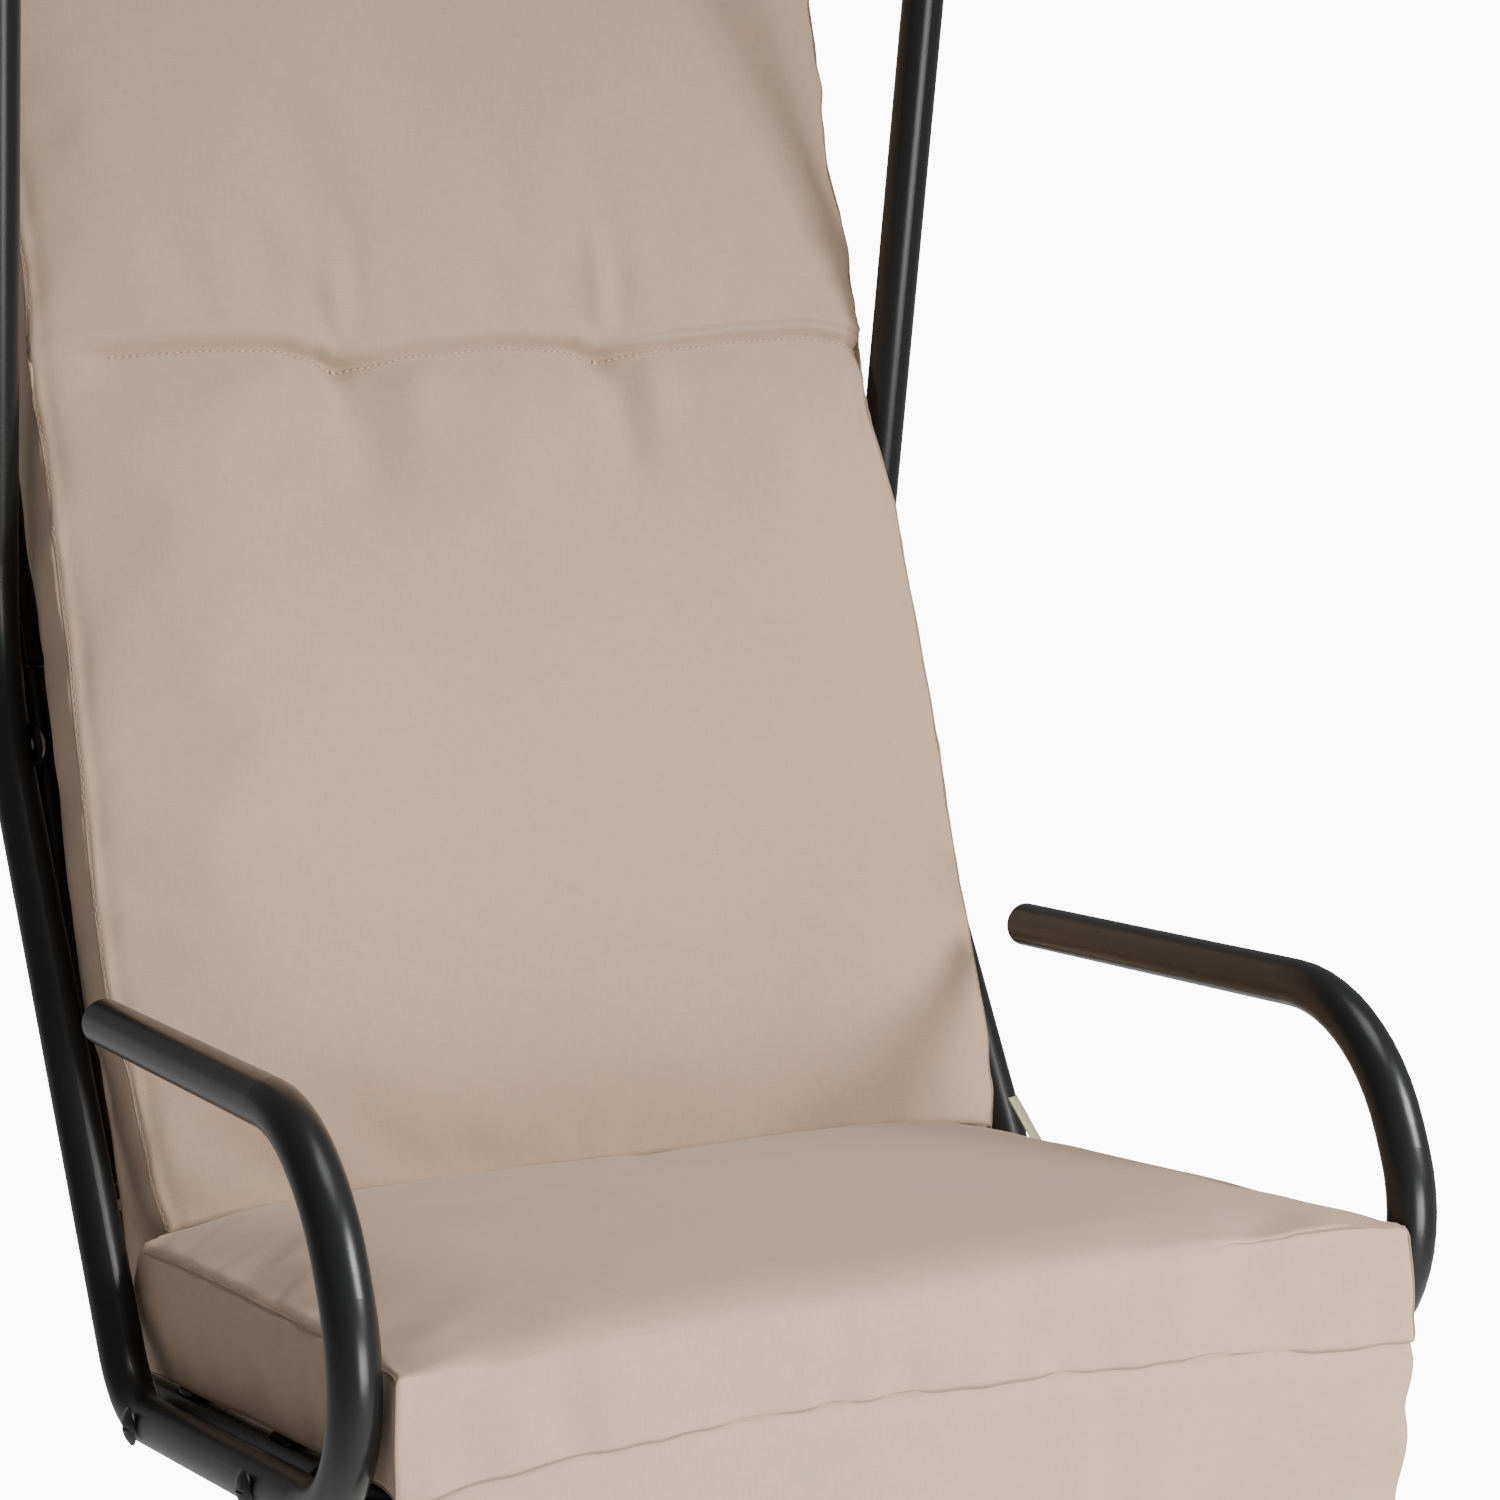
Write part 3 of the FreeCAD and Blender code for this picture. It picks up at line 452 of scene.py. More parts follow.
def reliefOn(piece, relief):    # moves each point along its normal by relief(share, place)
    shares = [Vector(item.vector) for item in piece.data.attributes["share"].data]
    places = [vertex.co.copy() for vertex in piece.data.vertices]
    pushVertices(piece, [(i, relief(share, place)) for i, (share, place) in enumerate(zip(shares, places))])


def keepRoom(piece, keepOff):    # off the side tubes and off the neighbour cushion
    for vertex in piece.data.vertices:
        co = keepOff(vertex.co)
        room = sideRoom(co.y, co.z)
        if abs(co.x) > room:
            co.x = math.copysign(room, co.x)
        vertex.co = co


# one closed pad: a lattice of cloth with a shape, held seams and pressure inside
def makePad(name, pad, places, shape, heldAt, keepOff):
    shares, faces, sides, index = boxLattice(*places)
    points = [shape(*share) for share in shares]
    first, across, along, up = [points[index[key]] for key in ((0, 0, 0), (1, 0, 0), (0, 1, 0), (0, 0, 1))]
    if (first - up).cross(along - first).dot(across - first) < 0:    # inside out, so turned back
        faces = [face[::-1] for face in faces]
    piece = meshPiece(name, points, faces)
    shareAttribute(piece.data, shares)
    weaveMap(piece.data, sides, pad["size"])
    swell(piece, [heldAt(*share) for share in shares], **pad["padding"])
    keepRoom(piece, keepOff)
    return piece, index


# a seam is the row of lattice keys along one edge; None marks the direction that runs
def seamRow(places, spot):
    ends = [len(p) - 1 for p in places]
    free = spot.index(None)
    row = []
    for k in range(ends[free] + 1):
        key = [0 if s == -1 else ends[n] if s == 1 else k for n, s in enumerate(spot)]
        row.append(tuple(key))
    return row


def grooveSeams(piece, index, rows, deep, lip):
    seam = {key for row in rows for key in row}
    beside = set()
    for key in seam:
        for axis in range(3):
            for way in (-1, 1):
                near = list(key)
                near[axis] += way
                near = tuple(near)
                if near in index and near not in seam:
                    beside.add(near)
    pushVertices(piece, [(index[key], -deep) for key in seam] + [(index[key], lip) for key in beside])


def rowPoints(piece, index, row, lift=0.0):
    normals = vertexNormals(piece)
    return [piece.data.vertices[index[key]].co + normals[index[key]] * lift for key in row]


def runLengths(points):
    lengths = [0.0]
    for before, after in zip(points, points[1:]):
        lengths.append(lengths[-1] + (after - before).length)
    return lengths


def resample(points, step):
    lengths = runLengths(points)
    count = max(2, round(lengths[-1] / step))
    placed = []
    k = 0
    for i in range(count + 1):
        want = lengths[-1] * i / count
        while k < len(points) - 2 and lengths[k + 1] < want:
            k += 1
        span = max(lengths[k + 1] - lengths[k], 1e-9)
        placed.append(points[k].lerp(points[k + 1], (want - lengths[k]) / span))
    return placed


def joinPieces(name, pieces):
    vertices = []
    faces = []
    for piece in pieces:
        offset = len(vertices)
        vertices += [v.co.copy() for v in piece.data.vertices]
        faces += [tuple(i + offset for i in polygon.vertices) for polygon in piece.data.polygons]
        mesh = piece.data
        bpy.data.objects.remove(piece)
        bpy.data.meshes.remove(mesh)
    return meshPiece(name, vertices, faces)


thread = {"seamRadius": 0.0008, "edgeRadius": 0.0008 * 0.9, "seamStep": 0.004, "groove": 0.0011,
          "lip": 0.0004, "rowLift": 0.0003, "seamLift": 0.0001, "endShare": 0.35, "inset": 0.0022,
          "stitchRadius": 0.00027, "stitchLength": 0.0030, "stitchPitch": 0.0050}


# the rolled edges take the darker seam finish: painted shade along the seam grooves
def makeSeams(name, lines, more=()):    # the rolled edge where two panels are sewn together
    strands = [strand("seam", resample(line, thread["seamStep"]), thread["seamRadius"]) for line in lines]
    finishPiece(joinPieces(name, strands + list(more)), "seam")


def makeStitches(name, surface, lines):
    tree = surfaceOf(surface)
    strands = []
    for line in lines:
        points = resample(line, thread["stitchPitch"])
        for before, after in zip(points, points[1:]):
            step = (after - before).normalized() * thread["stitchLength"] / 2
            middle = (before + after) / 2
            arc = [middle - step, middle - step * 0.5, middle + step * 0.5, middle + step]
            lifted = stickTo(tree, arc, thread["stitchRadius"] * 0.9)
            strands.append(strand("stitch", lifted, thread["stitchRadius"], sides=5))
    finishPiece(joinPieces(name, strands), "thread")


# after the padding: seams, one subdivision, the fine relief, room for the tubes, and the seams' lines
def sewPad(piece, index, places, seams, edges, relief, keepOff):
    rows = [seamRow(places, spot) for spot in seams]
    grooveSeams(piece, index, rows, thread["groove"], thread["lip"])
    lines = [rowPoints(piece, index, row, thread["rowLift"]) for row in rows]
    edgeLines = [rowPoints(piece, index, row) for row in edges]
    smoothOnce(piece)
    reliefOn(piece, relief)
    keepRoom(piece, keepOff)
    finishPiece(piece, "cloth")
    tree = surfaceOf(piece)
    return [[stickTo(tree, resample(line, thread["seamStep"]), lift) for line in group]
            for group, lift in ((lines, thread["seamLift"]), (edgeLines, -thread["seamLift"]))]


# shared by both cushions: the fine rows beside an edge, and the share beyond which a point is on a panel
fineRows = {"wide": (0.0, 0.0022, 0.0055, 0.011), "thick": (0.0, 0.0022, 0.006, 0.013)}
panelEdge = 0.98

# seat cushion: boxed and crowned, its front rolls over softly at the left and crisply at the right
seatPad = {"halfWidth": 0.2635, "rear": 0.030, "front": 0.476, "underside": 0.0146,
           "frontTop": (0.486, 0.0684), "rearTopUp": 0.0828, "joint": 43.0, "jointRoom": 0.0006,
           "draw": 0.0055, "sideBulge": 0.0035, "crown": 0.0205, "archFrom": 0.86, "leanFrom": -0.75,
           "crownAlong": [(-1, 0.80), (-0.7, 0.93), (-0.2, 1.0), (0.4, 0.92), (0.8, 0.62), (1, 0.33)],
           "seamArch": [(-1, -0.0045), (-0.82, 0.0020), (-0.64, 0.0059), (-0.26, 0.0092), (0.14, 0.0078),
                        (0.56, 0.0026), (1, -0.0060)],
           "roll": [(-1, 0.0030), (-0.93, 0.0095), (-0.8, 0.0165), (0.1, 0.0165), (0.45, 0.0105),
                    (0.72, 0.0045), (1, 0.0012)],
           "flare": {-1: 0.0030, 1: 0.0085}, "flareFrom": 0.955, "grooveFrom": (0.30, 0.80),
           "size": (0.527, 0.446, 0.070), "step": 0.0085, "thickStep": 0.010,
           "padding": {"pressure": 0.12, "bend": 0.6},
           "seams": [(-1, None, 1), (1, None, 1), (-1, 1, None), (1, 1, None), (None, 1, -1), (None, -1, 1),
                     (-1, None, -1), (1, None, -1)],
           "frontSeamFrom": 0.74, "uneven": (0.0014, 0.085, 3.0), "topGathers": (0.0016, 0.030, 5.0),
           "frontGathers": (0.0020, 0.020, 9.0), "endGathers": (0.0012, 0.018, 12.0),
           "sideGathers": (0.0008, 0.030, 15.0), "edgeGroove": (0.0013, 0.0, 0.0024)}
cornerPull = {"amount": 0.0012, "count": 11, "turn": 0.8, "reach": 0.022, "start": 0.006}
leftFold = {"amount": 0.0022, "forward": (0.081, 0.094), "width": 0.0042,
            "bend": (-0.24, -0.19), "fade": (-0.165, -0.225)}
seatJoint = math.tan(math.radians(seatPad["joint"]))
blur = [(0.4 * k, math.exp(-(0.4 * k) ** 2 / 2)) for k in range(-6, 7)]    # the places and weights of a mean


def pillow(share):    # how far the cloth has risen between two seams, at a share from -1 to 1
    return max(0.0, 1 - abs(share) ** 4.0) ** 0.5


def seatSection(a, b, c):    # forward and up in the side view
    p = seatPad
    t = (1 - b) / 2
    arch = tableValue(p["seamArch"], a) * smoothStep(p["archFrom"], 1.0, b)
    low = Vector((mix(p["front"], p["rear"], t), p["underside"] + arch))
    lift = p["crown"] * pillow(a) * tableValue(p["crownAlong"], b)
    frontTop = Vector(p["frontTop"])
    rearTop = Vector((p["rearTopUp"] * seatJoint, p["rearTopUp"]))
    high = frontTop.lerp(rearTop, t) + Vector((0, lift))
    onJoint = high.y * seatJoint + p["jointRoom"]
    high.x = mix(high.x, onJoint, smoothStep(p["leanFrom"], -1.0, b))
    point = low.lerp(high, (c + 1) / 2)
    if b <= -1:    # the rear leans along the joint
        point.x = max(p["rear"], point.y * seatJoint + p["jointRoom"])
    return point


def seatShape(a, b, c):
    p = seatPad
    side = seatSection(a, b, c)
    wide = p["halfWidth"] - p["draw"] * (1 - b ** 4) + p["sideBulge"] * (1 - c * c) * (1 - b ** 8) * abs(a)
    flare = p["flare"][1 if a > 0 else -1] * smoothStep(p["flareFrom"], 1.0, b)
    wide += abs(a) ** 6 * flare * (0.75 - 0.35 * c)
    return onSeat(a * wide, side.x, side.y)


def seatHeld(a, b, c):
    if c <= -1 or b <= -1 or (abs(a) >= 1 and (c >= 1 or b >= 1)):
        return 1.0
    return 0.25 if b >= 1 and c >= 1 else 0.0


def offBack(co):    # a point of the seat cushion stays in front of the joint
    forward = (frameCorner - co).dot(railBack)
    up = (co - frameCorner).dot(railUp)
    short = up * seatJoint + seatPad["jointRoom"] - forward
    return co - railBack * short if short > 0 else co.copy()


def alongLine(points, lengths, place):
    k = min(max(bisect.bisect_left(lengths, place) - 1, 0), len(points) - 2)
    share = (place - lengths[k]) / max(lengths[k + 1] - lengths[k], 1e-9)
    return points[k].lerp(points[k + 1], min(max(share, 0.0), 1.0))


def rollFront(piece, index, places):    # each slice of cloth goes over the front edge in a soft round
    nx, ny, nz = [len(row) - 1 for row in places]
    for i in range(nx + 1):
        keys = [(i, ny, k) for k in range(nz + 1)] + [(i, j, nz) for j in range(ny - 1, -1, -1)]
        points = [piece.data.vertices[index[key]].co.copy() for key in keys]
        lengths = runLengths(points)
        soft = tableValue(seatPad["roll"], places[0][i])
        for n, key in enumerate(keys):
            if 0 < n < len(keys) - 1 and abs(lengths[n] - lengths[nz]) < 3 * soft:
                total = Vector((0, 0, 0))
                for away, weight in blur:
                    total += alongLine(points, lengths, lengths[n] + away * soft) * weight
                piece.data.vertices[index[key]].co = total / sum(weight for away, weight in blur)


def topPulls(x, forward):    # gathers round the right front corner, and a low fold at the left
    c, f = cornerPull, leftFold
    corner = Vector((seatPad["halfWidth"] - x, seatPad["frontTop"][0] - forward))
    turn = math.atan2(corner.y, corner.x)
    gather = math.exp(-corner.length / c["reach"]) * smoothStep(0, c["start"], corner.length)
    course = mix(*f["forward"], smoothStep(*f["bend"], x))
    fold = f["amount"] * bell(forward - course, f["width"]) * smoothStep(*f["fade"], x)
    return c["amount"] * math.sin(c["count"] * turn + c["turn"]) * gather + fold


def seatRelief(share, place):    # gathers beside the seams, pulls in the top panel, slow unevenness
    p = seatPad
    a, b, c = share
    deep, high = p["size"][1:]
    forward = (frameCorner - place).dot(railBack)
    beside = (1 - abs(a)) * p["halfWidth"]
    push = uneven(p["uneven"], place)
    fromEdge = 1.0
    if c > panelEdge:
        fromEdge = (1 - b) / 2 * deep
        push += puckers(p["topGathers"], beside, forward, math.copysign(2, a)) + topPulls(place.x, forward)
    elif b > panelEdge:
        low = (1 + c) / 2 * high
        fromEdge = high - low
        push += puckers(p["frontGathers"], low, place.x) + puckers(p["endGathers"], beside, low)
    elif abs(a) > panelEdge:
        push += puckers(p["sideGathers"], (1 - c) / 2 * high, forward)
    return push - ridge(p["edgeGroove"], fromEdge) * smoothStep(*p["grooveFrom"], a)


def makeSeatCushion():
    p = seatPad
    wide, deep, high = p["size"]
    places = [spread(wide, p["step"], fineRows["wide"]), spread(deep, p["step"], fineRows["wide"]),
              spread(high, p["thickStep"], fineRows["thick"])]
    piece, index = makePad("seat_pad", p, places, seatShape, seatHeld, offBack)
    rollFront(piece, index, places)
    edge = seamRow(places, (None, 1, 1))
    edge = edge[round(len(edge) * p["frontSeamFrom"]):]    # its seam shows only towards the right corner
    lines, edgeLines = sewPad(piece, index, places, p["seams"], [edge], seatRelief, offBack)
    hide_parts("seat_cushion")
    edgeStrand = strand("seam", edgeLines[0], thread["edgeRadius"],
                        lambda share: smoothStep(-0.1, 0.7, share))
    makeSeams("seat_seams", lines, [edgeStrand])
    print("seat cushion:", len(piece.data.vertices), "points")


# back cushion: one long pad with a sewn line across it and two tufts on the line
backPad = {"foot": 0.030, "top": 0.868, "rear": 0.0146, "front": 0.0983, "crown": 0.0165, "rearHalf": 0.2495,
           "leftHalf": [(0.06, 0.2475), (0.10, 0.2535), (0.145, 0.2570), (0.206, 0.2640), (0.256, 0.2635),
                        (0.334, 0.2605), (0.413, 0.2580), (0.493, 0.2560), (0.53, 0.2560), (0.627, 0.2530),
                        (0.716, 0.2560), (0.80, 0.2600), (0.84, 0.2570), (0.868, 0.2400)],
           "rightHalf": [(0.06, 0.2560), (0.10, 0.2620), (0.134, 0.2655), (0.220, 0.2655), (0.345, 0.2675),
                         (0.446, 0.2660), (0.523, 0.2595), (0.575, 0.2625), (0.627, 0.2640), (0.679, 0.2625),
                         (0.732, 0.2670), (0.80, 0.2690), (0.84, 0.2630), (0.868, 0.2420)],
           "crownAlong": [(0.06, 0.84), (0.14, 1.0), (0.74, 1.0), (0.82, 0.85), (0.868, 0.3)],
           "thickAlong": [(0.06, 1.0), (0.80, 1.0), (0.845, 0.97), (0.868, 0.84)], "sideBulge": 0.0006,
           "size": (0.530, 0.838, 0.084), "step": 0.0078, "thickStep": 0.012, "jointRoom": 0.0006,
           "padding": {"pressure": 0.08, "bend": 0.8},
           "seams": [(-1, None, 1), (1, None, 1), (None, 1, 1), (None, -1, 1), (-1, None, -1),
                     (1, None, -1)],
           "uneven": (0.0016, 0.11, 21.0), "frontGathers": (1.0, 0.021, 25.0),
           "gatherShare": (0.0009, 0.0035), "sideGathers": (0.0022, 0.021, 31.0),
           "valley": (0.0013, 0.0062, 0.0042)}
backJoint = math.tan(math.radians(55.36))    # the joint's slant, from the back
backStart = backPad["foot"] + 0.038    # where the front face meets the joint

# the sewn line; its ridges are rows of height, place and width, a tuft's hollows have two of each place
sewnLine = {"height": 0.558, "tufts": (-0.0791, 0.0849),
            "course": [(-0.260, 0.5585), (-0.213, 0.5629), (-0.158, 0.5642), (-0.116, 0.5629),
                       (-0.093, 0.5574), (-0.0791, 0.5509), (-0.064, 0.5516), (-0.026, 0.5571),
                       (0.024, 0.5599), (0.062, 0.5575), (0.0849, 0.5518), (0.113, 0.5540), (0.140, 0.5564),
                       (0.180, 0.5596), (0.221, 0.5616), (0.254, 0.5574), (0.262, 0.5552)],
            "rows": (0.0, 0.0009, 0.0020, 0.0033, 0.0050, 0.0072, 0.0102, 0.0145, 0.020),
            "depth": 0.0072, "tuftDepth": 0.0062, "tuftReach": 0.024, "above": 0.034, "below": 0.046,
            "reach": 0.05, "heldFrom": 0.003, "heldTo": 0.016, "begun": (-0.238, -0.205),
            "foldFrom": (0.09, 0.14),
            "crease": 0.0056, "creaseTuft": 0.0022, "creaseTuftReach": 0.013, "creaseAbove": 0.0039,
            "creaseBelow": 0.0120, "creaseReach": 0.07, "swell": (0.0024, 0.0105, 0.0070),
            "lip": (0.0010, -0.0012, 0.0009), "fold": (0.0018, 0.0078, 0.0016), "knotDip": 0.0026,
            "knotReach": 0.0065,
            "tuftRidges": [[(-0.0019, 0.002, 0.0065), (0.0017, 0.016, 0.008)],
                           [(-0.0042, 0.002, 0.0065), (0.0020, 0.016, 0.008)]],
            "tuftHollows": [[(0.0062, 0.010, 0.020, -0.054, 0.028), (-0.0040, 0.044, 0.020, -0.024, 0.020)],
                            [(0.0062, 0.008, 0.013, -0.054, 0.028), (-0.0040, 0.030, 0.013, -0.024, 0.020)]]}


def sewnDip(x, along):    # how deep the cloth is drawn in round the sewn line
    s = sewnLine
    away = along - tableValue(s["course"], x)
    deep = s["depth"] * (1 - 0.45 * smoothStep(0.20, 0.262, abs(x)))
    deep += s["tuftDepth"] * sum(math.exp(-abs(x - t) / s["tuftReach"]) for t in s["tufts"])
    return deep * math.exp(-(abs(away) / (s["above"] if away > 0 else s["below"])) ** 1.5)


def sewnCrease(x, along):    # the sharp part of it: steep above the line, a thin lip and an easy slope below
    s = sewnLine
    away = along - tableValue(s["course"], x)
    if abs(away) > s["creaseReach"]:
        return 0.0
    begun = smoothStep(*s["begun"], x)
    deep = s["crease"] * begun
    deep += s["creaseTuft"] * sum(math.exp(-abs(x - t) / s["creaseTuftReach"]) for t in s["tufts"])
    if away > 0:
        dip = deep * math.exp(-(away / s["creaseAbove"]) ** 1.8) - ridge(s["swell"], away)
    else:
        dip = deep * math.exp(-(-away / s["creaseBelow"]) ** 1.1)
    dip += ridge(s["fold"], away) * smoothStep(*s["foldFrom"], x) - ridge(s["lip"], away) * begun
    return dip + sum(s["knotDip"] * bell(math.hypot(x - t, away), s["knotReach"]) for t in s["tufts"])


def tuftFolds(x, along):    # the upright fold above a tuft and the hollow below it
    s = sewnLine
    away = along - s["height"]
    above = smoothStep(0.004, 0.020, away) * (1 - smoothStep(0.035, 0.100, away))
    total = 0.0
    for t, ridges, hollows in zip(s["tufts"], s["tuftRidges"], s["tuftHollows"]):
        total += above * sum(ridge(row, x - t) for row in ridges)
        for height, aside, wide, low, tall in hollows:
            total += height * bell(x - t - aside, wide) * bell(away - low, tall)
    return total


def backRelief(share, place):    # the sewn line, gathers beside the seams and slow unevenness
    p = backPad
    a, c = share.x, share.z
    along = (place - frameCorner).dot(backUp)
    push = uneven(p["uneven"], place)
    if c > panelEdge:
        push -= sewnCrease(place.x, along) + tuftFolds(place.x, along)
        beside = (1 - abs(a)) * p["size"][0] / 2
        upper = smoothStep(0.50, 0.62, along) if a > 0 else 0.3
        amount = mix(*p["gatherShare"], upper)
        push += amount * puckers(p["frontGathers"], beside, along, math.copysign(3, a))
        push -= ridge(p["valley"], beside)    # the soft valley inside the side seam
    elif abs(a) > panelEdge:
        push += puckers(p["sideGathers"], (1 - c) / 2 * p["size"][2], along)
    return push


def backShape(a, b, c):
    p = backPad
    share = (b + 1) / 2
    thick = mix(p["rear"], p["front"], (c + 1) / 2)
    foot = max(p["foot"], thick / backJoint + p["jointRoom"])
    rough = mix(foot, p["top"], share)
    shape = tableValue(p["thickAlong"], rough)
    half = tableValue(p["rightHalf"] if a > 0 else p["leftHalf"], rough)
    x = a * half
    lift = p["crown"] * pillow(a) * tableValue(p["crownAlong"], rough)
    front = p["rear"] + (p["front"] - p["rear"]) * shape + lift
    out = mix(p["rear"], front, (c + 1) / 2)
    foot = max(p["foot"], out / backJoint + p["jointRoom"])
    along = mix(foot, p["top"], share)
    shift = tableValue(sewnLine["course"], x) - sewnLine["height"]
    along += shift * bell(along - sewnLine["height"], sewnLine["reach"]) * (c + 1) / 2
    if c >= 1:
        out -= sewnDip(x, along)
    tuck = (p["rearHalf"] - half) * (1 - smoothStep(-1.0, 0.15, c)) ** 1.5
    bulge = p["sideBulge"] * max(0.0, 1 - ((c - 0.35) / 1.35) ** 2) * (1 if abs(c) < 1 else 0)
    x += a * (tuck + bulge * abs(a) ** 3)
    return onBack(x, along, out)


def backHeld(a, b, c):
    if c <= -1 or b <= -1 or abs(a) >= 1 and (c >= 1 or b >= 1) or (b >= 1 and c >= 1):
        return 1.0
    if c >= 1:
        along = mix(backStart, backPad["top"], (b + 1) / 2)
        return 1 - smoothStep(sewnLine["heldFrom"], sewnLine["heldTo"], abs(along - sewnLine["height"]))
    return 0.0


def offSeat(co):    # a point of the back cushion stays above the joint
    along = (co - frameCorner).dot(backUp)
    out = (co - frameCorner).dot(backFront)
    short = out / backJoint + backPad["jointRoom"] - along
    return co + backUp * short if short > 0 else co.copy()


def rowsBetween(first, last, step):    # even rows between two places, without the places themselves
    count = round((last - first) / step)
    return [mix(first, last, i / count) for i in range(1, count)]


def backPlaces():    # with fine rows beside both ends and the sewn line
    p = backPad
    line = 2 * (sewnLine["height"] - backStart) / (p["top"] - backStart) - 1
    unit = 2 / (p["top"] - backStart)
    near = [d * unit for d in sewnLine["rows"]]
    ends = [d * unit for d in fineRows["wide"]]
    ys = [-1 + d for d in ends]
    ys += rowsBetween(ys[-1], line - near[-1], p["step"] * unit)
    ys += [line - d for d in near[::-1]] + [line + d for d in near[1:]]
    ys += rowsBetween(ys[-1], 1 - ends[-1], p["step"] * unit) + [1 - d for d in ends[::-1]]
    wide, thick = p["size"][0], p["size"][2]
    return [spread(wide, p["step"], fineRows["wide"]), ys, spread(thick, p["thickStep"], fineRows["thick"])]


def makeBackCushion():
    p = backPad
    places = backPlaces()
    piece, index = makePad("back_pad", p, places, backShape, backHeld, offSeat)
    lines = sewPad(piece, index, places, p["seams"], [], backRelief, offSeat)[0]
    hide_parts("back_cushion")
    makeSeams("back_seams", lines)
    print("back cushion:", len(piece.data.vertices), "points")
    return piece, lines


def inward(line, far):    # a line beside a side seam, on the front panel
    return [point + Vector((far, 0, 0)) for point in line]


# the thread of the sewn line, coloured lighter than the cloth as a painted highlight along the line, and a
# knot of two loops on each tuft
topThread = {"start": -0.212, "end": 0.256, "points": 120, "below": 0.0009, "clear": 0.10, "pitch": 0.0042,
             "share": 0.43, "lift": 0.0004, "radius": 0.00050, "knotLift": 0.0006, "knotTilts": (0.5, -0.6),
             "knotOut": 0.45, "knotSize": 0.0011, "knotSteps": 14, "knotRadius": 0.00062}


def makeSewnLine(pad):
    t = topThread
    tree = surfaceOf(pad)
    row = []
    for i in range(t["points"] + 1):
        x = mix(t["start"], t["end"], i / t["points"])
        row.append(onBack(x, tableValue(sewnLine["course"], x) - t["below"], t["clear"]))
    lying = resample(stickAlong(tree, row, -backFront), t["pitch"])
    strands = []
    for before, after in zip(lying, lying[1:]):
        step = (after - before) * t["share"]
        middle = (before + after) / 2
        lifted = stickTo(tree, [middle - step, middle, middle + step], t["lift"])
        strands.append(strand("stitch", lifted, t["radius"]))
    for x in sewnLine["tufts"]:
        centre = stickAlong(tree, [onBack(x, tableValue(sewnLine["course"], x), t["clear"])], -backFront)[0]
        centre += backFront * t["knotLift"]
        for tilt in t["knotTilts"]:
            axis = backFront * t["knotOut"] + Vector((math.cos(tilt), 0, 0)) + backUp * math.sin(tilt)
            ring = ringRound(centre, axis.normalized(), t["knotSize"], t["knotSteps"])
            strands.append(strand("knot", ring, t["knotRadius"], closed=True))
    # the lighter thread finish is a painted highlight along the sewn line and on the knots
    finishPiece(joinPieces("sewn_thread", strands), "painted_highlight_thread")


# skirt: one thickness of cloth hung from the seat cushion's lower front seam; a wave's row is its height,
# turns and start, a fold's its height, place, drift on the way down and width, a nip's depth, place and width
skirt = {"halfWidth": 0.2625, "drop": 0.150, "taper": 0.006, "wave": 0.0042, "thick": 0.0012, "tuck": 0.0020,
         "rightMore": 0.0065, "room": 0.0010, "flat": (0.525, 0.150), "columns": 108, "rows": 31,
         "start": -0.0016, "ease": 0.0040, "endWave": 0.0016,
         "waves": ((0.60, 7.0, 0.9), (0.34, 13.0, 2.2), (0.10, 29.0, 0.0)),
         "folds": ((0.9, 0.30, 0.04, 0.035), (-0.8, 0.38, 0.0, 0.05)),
         "nips": ((0.0022, 0.22, 0.06), (0.00176, 0.55, 0.09))}


def skirtPoint(a, v):
    s = skirt
    seam = seatSection(a, 1.0, -1.0)
    top = onSeat(0, seam.x, seam.y)
    fold = sum(height * math.sin(a * turns + start) for height, turns, start in s["waves"])
    fold += sum(height * bell(a - place - drift * v, width) for height, place, drift, width in s["folds"])
    out = s["start"] + s["ease"] * smoothStep(0, 0.07, v) + s["wave"] * fold * v ** 1.1
    out += s["endWave"] * math.sin(17 * v + 2) * smoothStep(0.90, 1.0, abs(a)) * smoothStep(0.05, 0.3, v)
    half = s["halfWidth"] - s["taper"] * smoothStep(0.0, 0.6, v) + s["rightMore"] * max(a, 0.0)
    half -= sum(ridge(row, v) for row in s["nips"])
    y, z = top.y - out, top.z + s["tuck"] - s["drop"] * v
    return Vector((a * min(half, sideRoom(y, z) - s["room"]), y, z))


def makeSkirt():
    s = skirt
    wide = s["columns"] + 1
    xs = [2 * i / s["columns"] - 1 for i in range(wide)]
    vs = [i / s["rows"] for i in range(s["rows"] + 1)]
    faces = []
    for j in range(s["rows"]):
        for k in range(j * wide, j * wide + s["columns"]):
            faces.append((k, k + wide, k + wide + 1, k + 1))
    piece = meshPiece("skirt_cloth", [skirtPoint(a, v) for v in vs for a in xs], faces)
    layer = piece.data.uv_layers.new(name="weave")
    for loop in piece.data.loops:
        row, column = divmod(loop.vertex_index, wide)
        layer.data[loop.index].uv = (xs[column] * s["halfWidth"], -vs[row] * s["drop"])
    solid = piece.modifiers.new("cloth", "SOLIDIFY")
    solid.thickness = s["thick"]
    solid.offset = 0
    applyModifiers(piece)
    finishPiece(piece, "cloth")
    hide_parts("cushion_skirt")
    print("skirt:", len(piece.data.vertices), "points")


